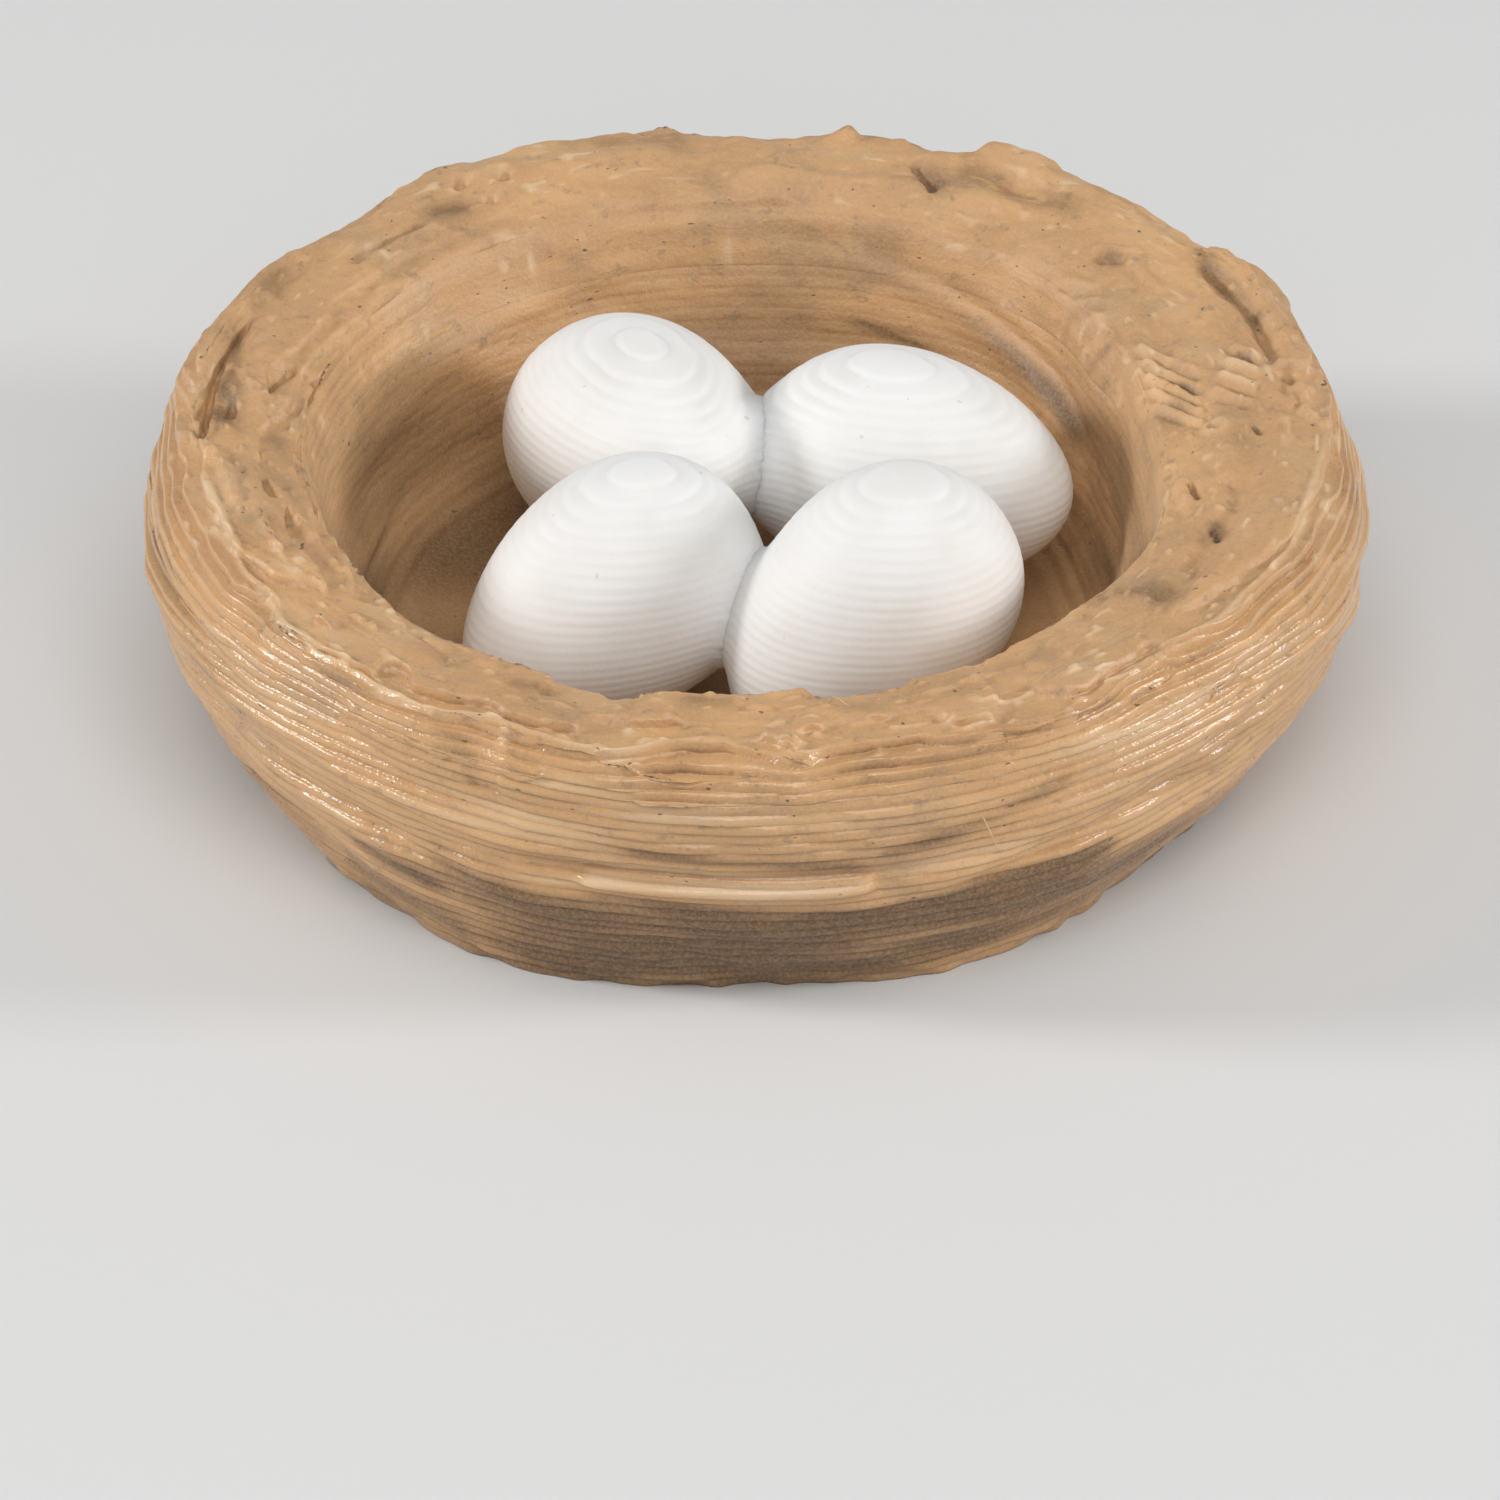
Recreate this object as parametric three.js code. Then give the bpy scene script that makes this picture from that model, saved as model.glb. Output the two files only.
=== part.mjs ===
// Miniature bird nest with four eggs, printed in layers.
// Millimetres, +Z up, the nest's flat base on z = 0, the cup open upwards.
// Angles run anticlockwise from +X seen from above; the front is -Y.
import * as THREE from 'three';

// ---- driving sizes -------------------------------------------------------

const COLUMNS = 90;            // columns of the nest's skin around the axis
const BULGE_HEIGHT = 4.1;      // height of the wall's widest ring
const FLOOR_HEIGHT = 1.36;     // top of the cup's floor
const FOOT_HEIGHT = 0.14;      // rounding under the wall's foot

const EGG_LENGTH = 5.7;        // long axis of every egg
const EGG_WIDTH = 4.2;         // widest ring of every egg
const EGG_TAPER = 0.18;        // how much the narrow end is drawn in

// Foot of the wall: [angle, radius].
const FOOT = [
  [0, 8.7], [35, 8.9], [90, 9.0], [150, 8.9], [195, 8.7], [222, 8.95],
  [243, 9.4], [256, 9.3], [270, 9.08], [286, 9.25], [303, 8.95], [322, 8.5],
];

// Widest ring of the wall: [angle, radius].
const BULGE = [
  [0, 10.5], [25, 10.45], [60, 10.6], [95, 10.5], [130, 10.3], [160, 10.3],
  [178, 10.45], [200, 10.45], [225, 10.3], [250, 10.5], [272, 10.6],
  [300, 10.5], [325, 10.45], [345, 10.6],
];

// Outer edge of the rim's top: [angle, radius]. The close pairs are notches.
const RIM_OUTER = [
  [0, 9.95], [10, 10.05], [20, 10.15], [29, 10.4], [34, 10.35], [37, 9.95],
  [46, 10.1], [58, 10.5], [65, 10.6], [69, 10.15], [74, 10.25], [80, 10.45],
  [84, 10.2], [89, 10.0], [97, 10.35], [108, 10.45], [120, 10.4],
  [129, 10.2], [133, 9.85], [146, 9.95], [158, 10.0], [169, 9.95],
  [173, 9.6], [190, 9.5], [202, 9.55], [214, 9.75], [222, 10.05],
  [236, 10.2], [246, 10.1], [256, 10.3], [263, 9.9], [270, 9.75],
  [276, 10.05], [283, 9.75], [291, 9.9], [298, 10.2], [305, 10.05],
  [312, 9.8], [324, 9.95], [336, 9.9], [347, 9.8],
];

// Mouth of the cup: [angle, radius].
const MOUTH = [
  [0, 7.05], [28, 7.2], [45, 7.7], [62, 8.05], [90, 8.15], [120, 8.05],
  [150, 7.8], [180, 7.7], [205, 7.75], [225, 8.15], [245, 8.3], [270, 8.35],
  [293, 8.15], [313, 7.75], [338, 7.45],
];

// Height of the rim's outer edge: [angle, height].
const RIM_OUTER_HEIGHT = [
  [0, 5.55], [25, 5.68], [60, 5.8], [90, 5.78], [118, 5.82], [150, 5.78],
  [170, 5.72], [176, 5.5], [200, 5.46], [216, 5.34], [230, 5.2], [250, 5.15],
  [290, 5.15], [312, 5.2], [328, 5.35], [345, 5.5],
];

// Height of the mouth's edge: [angle, height].
const MOUTH_HEIGHT = [
  [0, 5.2], [45, 5.25], [90, 5.4], [140, 5.45], [180, 5.25], [225, 5.15],
  [270, 5.18], [315, 5.15],
];

// Wall from foot to bulge: [share of the height, share of the overhang].
const WALL = [[0, 0], [0.12, 0.2], [0.34, 0.52], [0.66, 0.86], [1, 1]];

// Shoulder from bulge to rim: [share of the height, share of the way in].
const SHOULDER = [[0, 0], [0.35, 0.12], [0.65, 0.36], [0.86, 0.66], [1, 1]];

// Cup from floor to mouth: [share of the height, share of the mouth radius].
const CUP = [
  [0, 0.7], [0.015, 0.755], [0.06, 0.805], [0.14, 0.845], [0.3, 0.89],
  [0.55, 0.935], [0.8, 0.97], [1, 1],
];

// Strands wrapped round the wall and grooves between them.
// from / to: [angle, height]; width and rise in mm, a groove has rise < 0.
const STRANDS = [
  { from: [182, 3.9], to: [262, 3.0], width: 0.34, rise: 0.14 },
  { from: [196, 3.1], to: [246, 2.1], width: 0.3, rise: -0.12 },
  { from: [205, 2.3], to: [283, 1.5], width: 0.42, rise: 0.12 },
  { from: [253, 2.4], to: [282, 2.45], width: 0.2, rise: 0.16 },
  { from: [248, 2.85], to: [296, 2.95], width: 0.2, rise: -0.13 },
  { from: [286, 2.2], to: [336, 3.8], width: 0.24, rise: -0.15 },
  { from: [292, 3.1], to: [350, 4.3], width: 0.36, rise: 0.1 },
  { from: [262, 0.75], to: [330, 2.1], width: 0.4, rise: 0.1 },
  { from: [340, 3.2], to: [40, 1.6], width: 0.4, rise: 0.14 },
  { from: [350, 2.2], to: [55, 3.6], width: 0.3, rise: -0.12 },
  { from: [30, 3.4], to: [108, 2.2], width: 0.42, rise: 0.14 },
  { from: [60, 1.7], to: [128, 3.5], width: 0.3, rise: -0.12 },
  { from: [100, 1.3], to: [165, 2.6], width: 0.42, rise: 0.13 },
  { from: [128, 3.9], to: [190, 2.7], width: 0.3, rise: -0.12 },
];

// Tracks lying on the rim's top and furrows beside them.
// from / to: [angle, radius]; width and rise in mm, a furrow has rise < 0.
const TRACKS = [
  { from: [143, 9.65], to: [172, 9.72], width: 0.26, rise: 0.18 },
  { from: [152, 9.15], to: [180, 9.3], width: 0.24, rise: -0.2 },
  { from: [12, 9.75], to: [38, 10.0], width: 0.26, rise: 0.16 },
  { from: [8, 9.3], to: [38, 9.6], width: 0.24, rise: -0.18 },
  { from: [52, 9.6], to: [67, 10.2], width: 0.3, rise: 0.14 },
  { from: [96, 9.4], to: [124, 9.7], width: 0.4, rise: 0.1 },
  { from: [205, 8.7], to: [236, 9.2], width: 0.2, rise: 0.1 },
  { from: [326, 8.7], to: [352, 8.5], width: 0.25, rise: -0.14 },
];

// ---- small helpers -------------------------------------------------------

const RADIANS = Math.PI / 180;

/** Share of the way from start to end, eased at both. */
function ease(share) {
  const held = THREE.MathUtils.clamp(share, 0, 1);
  return held * held * (3 - 2 * held);
}

/** Height of a smooth curve through knots at x, which stays in their range. */
function along(knots, x) {
  const last = knots.length - 1;
  let index = 0;
  while (index < last - 1 && x > knots[index + 1][0]) index += 1;
  const slope = (k) => {
    const low = Math.max(k - 1, 0);
    const high = Math.min(k + 1, last);
    return (knots[high][1] - knots[low][1]) / (knots[high][0] - knots[low][0]);
  };
  const [x0, y0] = knots[index];
  const [x1, y1] = knots[index + 1];
  const span = x1 - x0;
  const t = THREE.MathUtils.clamp((x - x0) / span, 0, 1);
  const a = y0 + (slope(index) * span * t);
  const b = y1 - (slope(index + 1) * span * (1 - t));
  return a + (b - a) * ease(t);
}

/** The same curve through knots that go once round the axis. */
function around(knots, angle) {
  const turn = (((angle - knots[0][0]) % 360) + 360) % 360 + knots[0][0];
  const last = knots[knots.length - 1];
  const closed = [
    [last[0] - 360, last[1]],
    ...knots,
    [knots[0][0] + 360, knots[0][1]],
    [knots[1][0] + 360, knots[1][1]],
  ];
  return along(closed, turn);
}

/** Rise of every strand or track at an angle and a height or radius. */
function reliefAt(bands, angle, across) {
  let rise = 0;
  for (const band of bands) {
    const [start, first] = band.from;
    const sweep = (band.to[0] - start + 360) % 360;
    const turned = (angle - start + 360) % 360;
    if (turned <= sweep) {
      const share = turned / sweep;
      const middle = first + (band.to[1] - first) * share;
      const ends = ease(Math.min(share, 1 - share) * 7);
      const off = (across - middle) / band.width;
      rise += band.rise * ends * Math.exp(-off * off);
    }
  }
  return rise;
}

// ---- the nest ------------------------------------------------------------

/** Radius of the outer wall at an angle and a height. */
function wallRadius(angle, height) {
  const foot = around(FOOT, angle);
  const bulge = around(BULGE, angle);
  const relief = reliefAt(STRANDS, angle, height);
  if (height <= BULGE_HEIGHT) {
    const share = along(WALL, height / BULGE_HEIGHT);
    return foot + (bulge - foot) * share + relief;
  }
  const top = around(RIM_OUTER_HEIGHT, angle);
  const rise = (height - BULGE_HEIGHT) / (top - BULGE_HEIGHT);
  const inward = along(SHOULDER, THREE.MathUtils.clamp(rise, 0, 1));
  return bulge + (around(RIM_OUTER, angle) - bulge) * inward + relief;
}

/** Point of the rim's top: share 0 is the outer edge, 1 the cup's mouth. */
function rimPoint(angle, share) {
  const outer = around(RIM_OUTER, angle);
  const radius = outer + (around(MOUTH, angle) - outer) * share;
  const high = around(RIM_OUTER_HEIGHT, angle);
  const low = around(MOUTH_HEIGHT, angle);
  const crown = 0.1 * Math.sin(Math.PI * share);
  const edges = ease(Math.min(share, 1 - share) * 9);
  const relief = reliefAt(TRACKS, angle, radius) * (0.4 + 0.6 * edges);
  return [radius, high + (low - high) * share ** 1.4 + crown + relief];
}

/** Point of the cup's side: share 0 is the mouth, 1 the edge of the floor. */
function cupPoint(angle, share) {
  const mouth = around(MOUTH, angle);
  const top = around(MOUTH_HEIGHT, angle);
  const rise = (1 - share) ** 1.7;
  const lumps = 0.05 * Math.sin(angle * RADIANS * 5 + 3 * share)
    + 0.04 * Math.sin(angle * RADIANS * 9 - 4 * share);
  const radius = mouth * along(CUP, rise) + lumps * Math.sin(Math.PI * share);
  return [radius, FLOOR_HEIGHT + (top - FLOOR_HEIGHT) * rise];
}

/** Radius and height of every row of the nest's skin at one angle. */
function nestProfile(angle) {
  const foot = around(FOOT, angle);
  const rows = [
    [foot * 0.5, 0],
    [foot - 0.22, 0],
    [foot - 0.05, FOOT_HEIGHT * 0.4],
  ];
  const wallTop = around(RIM_OUTER_HEIGHT, angle) - 0.1;
  const wallRows = 18;
  for (let row = 0; row <= wallRows; row += 1) {
    const height = FOOT_HEIGHT + (wallTop - FOOT_HEIGHT) * (row / wallRows);
    rows.push([wallRadius(angle, height), height]);
  }
  for (const share of [0.06, 0.17, 0.3, 0.43, 0.57, 0.72, 0.87, 0.97]) {
    rows.push(rimPoint(angle, share));
  }
  for (const share of [0.06, 0.18, 0.34, 0.5, 0.66, 0.8, 0.92, 1]) {
    rows.push(cupPoint(angle, share));
  }
  rows.push([around(MOUTH, angle) * 0.4, FLOOR_HEIGHT]);
  return rows;
}

/** Closed skin through rows of points around the axis. */
function closedSkin(profileAt, columns) {
  const rings = [];
  for (let column = 0; column < columns; column += 1) {
    rings.push(profileAt((360 * column) / columns));
  }
  const rows = rings[0].length;
  const positions = [];
  rings.forEach((profile, column) => {
    const angle = (2 * Math.PI * column) / columns;
    for (const [radius, height] of profile) {
      positions.push(radius * Math.cos(angle), radius * Math.sin(angle), height);
    }
  });
  const bottom = positions.length / 3;
  positions.push(0, 0, rings[0][0][1]);
  const top = bottom + 1;
  positions.push(0, 0, rings[0][rows - 1][1]);
  const index = [];
  for (let column = 0; column < columns; column += 1) {
    const here = column * rows;
    const next = ((column + 1) % columns) * rows;
    index.push(bottom, next, here);
    for (let row = 0; row < rows - 1; row += 1) {
      index.push(here + row, next + row, next + row + 1);
      index.push(here + row, next + row + 1, here + row + 1);
    }
    index.push(here + rows - 1, next + rows - 1, top);
  }
  const geometry = new THREE.BufferGeometry();
  geometry.setAttribute('position', new THREE.Float32BufferAttribute(positions, 3));
  geometry.setIndex(index);
  geometry.computeVertexNormals();
  return geometry;
}

/** The printed bowl in tan wood-filled plastic. */
function makeNest() {
  const material = new THREE.MeshStandardMaterial({
    color: 0xb58a5c,
    roughness: 0.62,
    metalness: 0,
  });
  const nest = new THREE.Mesh(closedSkin(nestProfile, COLUMNS), material);
  nest.name = 'nest';
  return nest;
}

// ---- the eggs ------------------------------------------------------------

/** One egg: centre in mm, heading and climb of its narrow end in degrees. */
function makeEgg(name, centre, heading, climb) {
  const geometry = new THREE.SphereGeometry(1, 20, 12);
  const position = geometry.attributes.position;
  const widest = Math.exp(EGG_TAPER * EGG_TAPER * 0.5);
  const point = new THREE.Vector3();
  for (let index = 0; index < position.count; index += 1) {
    point.fromBufferAttribute(position, index);
    const girth = Math.exp(-EGG_TAPER * point.y) / widest;
    position.setXYZ(
      index,
      point.x * girth * (EGG_WIDTH / 2),
      point.y * (EGG_LENGTH / 2),
      point.z * girth * (EGG_WIDTH / 2),
    );
  }
  const level = Math.cos(climb * RADIANS);
  const axis = new THREE.Vector3(
    level * Math.cos(heading * RADIANS),
    level * Math.sin(heading * RADIANS),
    Math.sin(climb * RADIANS),
  );
  const turn = new THREE.Quaternion();
  turn.setFromUnitVectors(new THREE.Vector3(0, 1, 0), axis);
  geometry.applyQuaternion(turn);
  geometry.translate(...centre);
  geometry.computeVertexNormals();
  const material = new THREE.MeshStandardMaterial({
    color: 0xf1eeea,
    roughness: 0.5,
    metalness: 0,
  });
  const egg = new THREE.Mesh(geometry, material);
  egg.name = name;
  return egg;
}

// ---- assembly ------------------------------------------------------------

const group = new THREE.Group();
group.name = 'bird_nest_with_eggs';
group.add(makeNest());
group.add(makeEgg('egg_back_left', [-1.97, 2.85, 3.68], 295, 17.5));
group.add(makeEgg('egg_back_right', [2.88, 2.02, 3.5], 337, 0));
group.add(makeEgg('egg_front_left', [-2.45, -2.17, 3.44], 214.5, -19));
group.add(makeEgg('egg_front_right', [2.02, -3.2, 3.75], 201.5, -39));

// The nest's outline is centred on the origin in plan.
const plan = new THREE.Box3().setFromObject(group);
const offset = plan.getCenter(new THREE.Vector3());
for (const piece of group.children) {
  piece.geometry.translate(-offset.x, -offset.y, 0);
}

export default group;
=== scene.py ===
"""Looks of a miniature bird nest with eggs, printed in layers.

The nest is a tan wood-filled print: a bulging wall of stacked layers, a rough
rim of stepped terraces and a hollow cup. White printed eggs lie in the cup.
Shapes are worked out in millimetres and handed over in metres.
"""

import logging
import math
from dataclasses import dataclass
from enum import Enum

import bpy
import numpy as np
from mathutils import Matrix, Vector

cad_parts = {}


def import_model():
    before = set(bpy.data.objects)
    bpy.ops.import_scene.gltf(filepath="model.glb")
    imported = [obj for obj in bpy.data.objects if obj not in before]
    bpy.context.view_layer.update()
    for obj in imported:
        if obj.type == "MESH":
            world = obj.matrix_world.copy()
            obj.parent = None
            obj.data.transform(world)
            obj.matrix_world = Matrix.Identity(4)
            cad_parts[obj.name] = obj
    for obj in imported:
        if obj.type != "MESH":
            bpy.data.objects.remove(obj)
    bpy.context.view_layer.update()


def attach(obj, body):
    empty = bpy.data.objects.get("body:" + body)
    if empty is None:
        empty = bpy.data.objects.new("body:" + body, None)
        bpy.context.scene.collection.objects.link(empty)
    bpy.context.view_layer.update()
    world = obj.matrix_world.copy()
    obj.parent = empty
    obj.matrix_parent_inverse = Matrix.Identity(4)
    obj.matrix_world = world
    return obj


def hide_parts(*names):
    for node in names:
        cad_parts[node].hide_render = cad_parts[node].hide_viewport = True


log = logging.getLogger("nest")

Knots = tuple[tuple[float, float], ...]
Place = tuple[float, float]
Triple = tuple[float, float, float]
MM = 0.001
LAYER = 0.19  # height of a printed layer of the nest, in mm
PLAN_SHIFT = (-0.026, 0.027)  # from the shapes' axis to the frame's, in mm
STEEPEST = 8.0  # slopes are held at this
LEAST_SLOPE = 0.05
WIDEST_TREAD = 0.3  # mm
NOSE_PART = 0.55  # share of a tread that its rounded edge takes up
REST_PART = 0.45
BEAD_ROWS = (0.03, 0.27, 0.73, 0.97)  # shares of a layer where its bead has rows
LATTICE_ROWS = 64  # of a ripple, before it repeats


# ---- curves, bands and ripples ---------------------------------------------


def ease(share: np.ndarray) -> np.ndarray:
    """Share of the way from start to end, eased at both."""
    held = np.clip(share, 0.0, 1.0)
    return held * held * (3.0 - 2.0 * held)


def along(knots: Knots, at: np.ndarray) -> np.ndarray:
    """Smooth curve through knots.

    Args:
        knots: Places and values, with the places rising.
        at: Places to read.

    Returns:
        The curve's value at every place.
    """
    places = np.array([knot[0] for knot in knots])
    values = np.array([knot[1] for knot in knots])
    order = np.arange(len(places))
    low = np.maximum(order - 1, 0)
    high = np.minimum(order + 1, len(places) - 1)
    slopes = (values[high] - values[low]) / (places[high] - places[low])
    left = np.clip(np.searchsorted(places, at) - 1, 0, len(places) - 2)
    span = places[left + 1] - places[left]
    share = np.clip((at - places[left]) / span, 0.0, 1.0)
    start = values[left] + slopes[left] * span * share
    end = values[left + 1] - slopes[left + 1] * span * (1.0 - share)
    return start + (end - start) * ease(share)


def around(knots: Knots, angle: np.ndarray) -> np.ndarray:
    """Smooth curve through knots that go once round the axis.

    Args:
        knots: Angles in degrees and values.
        angle: Angles to read, in degrees.

    Returns:
        The curve's value at every angle.
    """
    first, last = knots[0], knots[-1]
    closed = (
        (last[0] - 360.0, last[1]),
        *knots,
        (first[0] + 360.0, first[1]),
        (knots[1][0] + 360.0, knots[1][1]),
    )
    turned = np.mod(angle - first[0], 360.0) + first[0]
    return along(closed, turned)


@dataclass(frozen=True)
class Band:
    """A strand, track or furrow that runs part of the way round.

    start and end hold an angle in degrees and a height or radius in mm. under
    narrows the band's lower side.
    """

    start: Place
    end: Place
    width: float
    rise: float
    fade: float = 7.0
    under: float = 1.0

    def at(self, angle: np.ndarray, across: np.ndarray) -> np.ndarray:
        """Rise of the band.

        Args:
            angle: Angles in degrees.
            across: Heights or radii in mm.

        Returns:
            The rise in mm at every place.
        """
        sweep = (self.end[0] - self.start[0]) % 360.0
        turned = np.mod(angle - self.start[0], 360.0)
        share = turned / sweep
        middle = self.start[1] + (self.end[1] - self.start[1]) * share
        ends = ease(np.minimum(share, 1.0 - share) * self.fade)
        off = (across - middle) / self.width
        off = np.where(off < 0, off / self.under, off)
        return np.where(turned <= sweep, self.rise * ends * np.exp(-off * off), 0.0)


@dataclass(frozen=True)
class Mark:
    """A pit, slit, nub or ridge between two places of a flat surface, in mm."""

    start: Place
    end: Place
    width: float
    rise: float

    def at(self, x: np.ndarray, y: np.ndarray) -> np.ndarray:
        """Rise of the mark.

        Args:
            x: First coordinates in mm.
            y: Second coordinates in mm.

        Returns:
            The rise in mm at every place.
        """
        run = np.array(self.end) - np.array(self.start)
        length = max(float(run @ run), 1e-9)
        share = ((x - self.start[0]) * run[0] + (y - self.start[1]) * run[1]) / length
        share = np.clip(share, 0.0, 1.0)
        away = np.hypot(
            x - self.start[0] - share * run[0], y - self.start[1] - share * run[1]
        )
        return self.rise * np.exp(-((away / self.width) ** 2))


@dataclass(frozen=True)
class Ripple:
    """Seeded unevenness that closes round the axis.

    blur is the share of each cell in which its value changes along the angle.
    """

    seed: int
    turns: int
    pitch: float
    size: float
    blur: float = 1.0

    def at(self, angle: np.ndarray, across: np.ndarray) -> np.ndarray:
        """Height of the ripple.

        Args:
            angle: Angles in degrees.
            across: Heights or radii in mm.

        Returns:
            The height in mm at every place.
        """
        lattice = np.random.default_rng(self.seed).uniform(
            -1, 1, (self.turns, LATTICE_ROWS)
        )
        turned = np.mod(angle, 360.0) / 360.0 * self.turns
        crossed = across / self.pitch
        column = np.floor(turned).astype(int)
        row = np.floor(crossed).astype(int)
        right = ease((turned - column - 0.5) / self.blur + 0.5)
        up = ease(crossed - row)

        def knot(i: int, j: int) -> np.ndarray:
            """Lattice value beside every place."""
            return lattice[(column + i) % self.turns, (row + j) % LATTICE_ROWS]

        low = knot(0, 0) * (1 - right) + knot(1, 0) * right
        high = knot(0, 1) * (1 - right) + knot(1, 1) * right
        return self.size * (low * (1 - up) + high * up)


def bead_groove(share: np.ndarray) -> np.ndarray:
    """How far a printed line's side lies back: 0 at its middle, 1 at its edges."""
    off = np.clip(2.0 * share - 1.0, -1.0, 1.0)
    return 1.0 - np.sqrt(1.0 - off * off)


def slope_of(radius: np.ndarray, height: np.ndarray, angle: np.ndarray) -> np.ndarray:
    """Steepness of a skin.

    Args:
        radius: Radius of every point, one row per ring.
        height: Height of every point.
        angle: Angle of every column, in degrees.

    Returns:
        Rise over run at every point, at most STEEPEST.
    """
    across = np.gradient(radius, axis=0)
    up = np.gradient(height, axis=0)
    across = np.where(np.abs(across) < 1e-4, 1e-4, across)
    fall = up / across
    spread = math.radians(angle[1] - angle[0])
    height_turn = (np.roll(height, -1, 1) - np.roll(height, 1, 1)) / (2 * spread)
    radius_turn = (np.roll(radius, -1, 1) - np.roll(radius, 1, 1)) / (2 * spread)
    turn = (height_turn - fall * radius_turn) / radius
    return np.minimum(np.hypot(fall, turn), STEEPEST)


def tread_run(slope: np.ndarray, thick: float = LAYER) -> np.ndarray:
    """Level width in mm that one layer takes up on a slope."""
    return thick / np.maximum(slope, LEAST_SLOPE)


def tread_share(run: np.ndarray) -> np.ndarray:
    """1 where a layer lies open as a tread, 0 where only its bead shows."""
    return ease((run - 0.03) / 0.09)


def printed(
    height: np.ndarray,
    slope: np.ndarray,
    depth: np.ndarray | float,
    nose: float = 0.055,
    thick: float = LAYER,
) -> tuple[np.ndarray, np.ndarray]:
    """How printing in layers shifts a surface.

    Gentle slopes become treads with a rounded edge, steep ones a stack of beads.

    Args:
        height: Height of every point in mm.
        slope: Rise over run at every point.
        depth: Depth of the grooves between beads.
        nose: Width of a tread's rounded edge.
        thick: Height of a layer.

    Returns:
        Outward shift and new height of every point.
    """
    run = tread_run(slope, thick)
    gentle = tread_share(run)
    level = height / thick - 0.5 * gentle
    layer = np.floor(level)
    share = level - layer
    held = np.minimum(run, WIDEST_TREAD)
    part = np.minimum(share * run / held, 1.0)
    width = np.minimum(nose, 0.7 * held)
    turn = np.minimum(part / NOSE_PART, 1.0) * (np.pi / 2)
    past = np.clip((part - NOSE_PART) / REST_PART, 0, 1)
    across = width * (1 - np.cos(turn)) + (held - width) * past
    stepped = (layer + np.sin(turn)) * thick
    shift = gentle * (part * held - across) - (1 - gentle) * depth * bead_groove(share)
    return shift, height + gentle * (stepped - height)


def shaded_corners(height: np.ndarray, slope: np.ndarray) -> np.ndarray:
    """Painted shade on the layers: inner corners of treads, grooves of beads.

    Args:
        height: Height of every point in mm.
        slope: Rise over run at every point.

    Returns:
        Strength of the painted shade at every point, 0 to 1.
    """
    run = tread_run(slope)
    gentle = tread_share(run)
    level = height / LAYER - 0.5 * gentle
    part = level - np.floor(level)
    near = part * np.minimum(run, 1.5)
    crease_shade = gentle * np.exp(-((near / 0.05) ** 2)) * (slope > 0.3)
    return crease_shade + (1 - gentle) * bead_groove(part)


# ---- meshes ----------------------------------------------------------------


def rings_to_faces(rings: int, columns: int) -> list[list[int]]:
    """Four-cornered faces between rings of points.

    Args:
        rings: Number of rings.
        columns: Points in each ring.

    Returns:
        Corner numbers of every face.
    """
    index = np.arange(rings * columns).reshape(rings, columns)
    after = np.roll(index, -1, axis=1)
    quads = np.stack([index[:-1], after[:-1], after[1:], index[1:]], axis=-1)
    return quads.reshape(-1, 4).tolist()


@dataclass
class Skin:
    """Rows of points round the axis, in mm, that become one mesh.

    radius and height have one row per ring and one column per angle.
    """

    radius: np.ndarray
    height: np.ndarray
    angle: np.ndarray
    tone: np.ndarray
    gloss: np.ndarray

    def mesh(self, name: str, pole: bool = False) -> bpy.types.Object:
        """Builds the object.

        Args:
            name: Name of the piece.
            pole: Whether the last ring closes on the axis.

        Returns:
            The new object, in metres.
        """
        rows, columns = self.radius.shape
        turn = np.radians(self.angle)[None, :]
        x = self.radius * np.cos(turn) + PLAN_SHIFT[0]
        y = self.radius * np.sin(turn) + PLAN_SHIFT[1]
        points = np.stack([x, y, self.height], axis=-1).reshape(-1, 3) * MM
        tones, gloss = self.tone.reshape(-1), self.gloss.reshape(-1)
        faces = rings_to_faces(rows, columns)
        if pole:
            centre = np.array([PLAN_SHIFT[0], PLAN_SHIFT[1], self.height[-1, 0]])
            points = np.vstack([points, centre * MM])
            tones = np.append(tones, tones[-1])
            gloss = np.append(gloss, gloss[-1])
            last = (rows - 1) * columns
            for column in range(columns):
                after = last + (column + 1) % columns
                faces.append([last + column, after, rows * columns])
        return shell(name, points, faces, tones, gloss)


def shell(
    name: str,
    points: np.ndarray,
    faces: list[list[int]],
    tones: np.ndarray,
    gloss: np.ndarray,
) -> bpy.types.Object:
    """Smooth mesh object with a tone and a gloss at every point.

    Args:
        name: Name of the piece.
        points: Corners in metres.
        faces: Corner numbers of every face.
        tones: Darker below 0, lighter above 0.
        gloss: 0 for matt, 1 for glossy.

    Returns:
        The new object, linked to the scene.
    """
    mesh = bpy.data.meshes.new(name)
    mesh.from_pydata(points.tolist(), [], faces)
    mesh.shade_smooth()
    for label, values in (("tone", tones), ("gloss", gloss)):
        layer = mesh.attributes.new(label, "FLOAT", "POINT")
        layer.data.foreach_set("value", values.astype(np.float32))
    mesh.validate()
    mesh.update()
    piece = bpy.data.objects.new(name, mesh)
    bpy.context.scene.collection.objects.link(piece)
    return piece


# ---- finishes --------------------------------------------------------------


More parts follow.
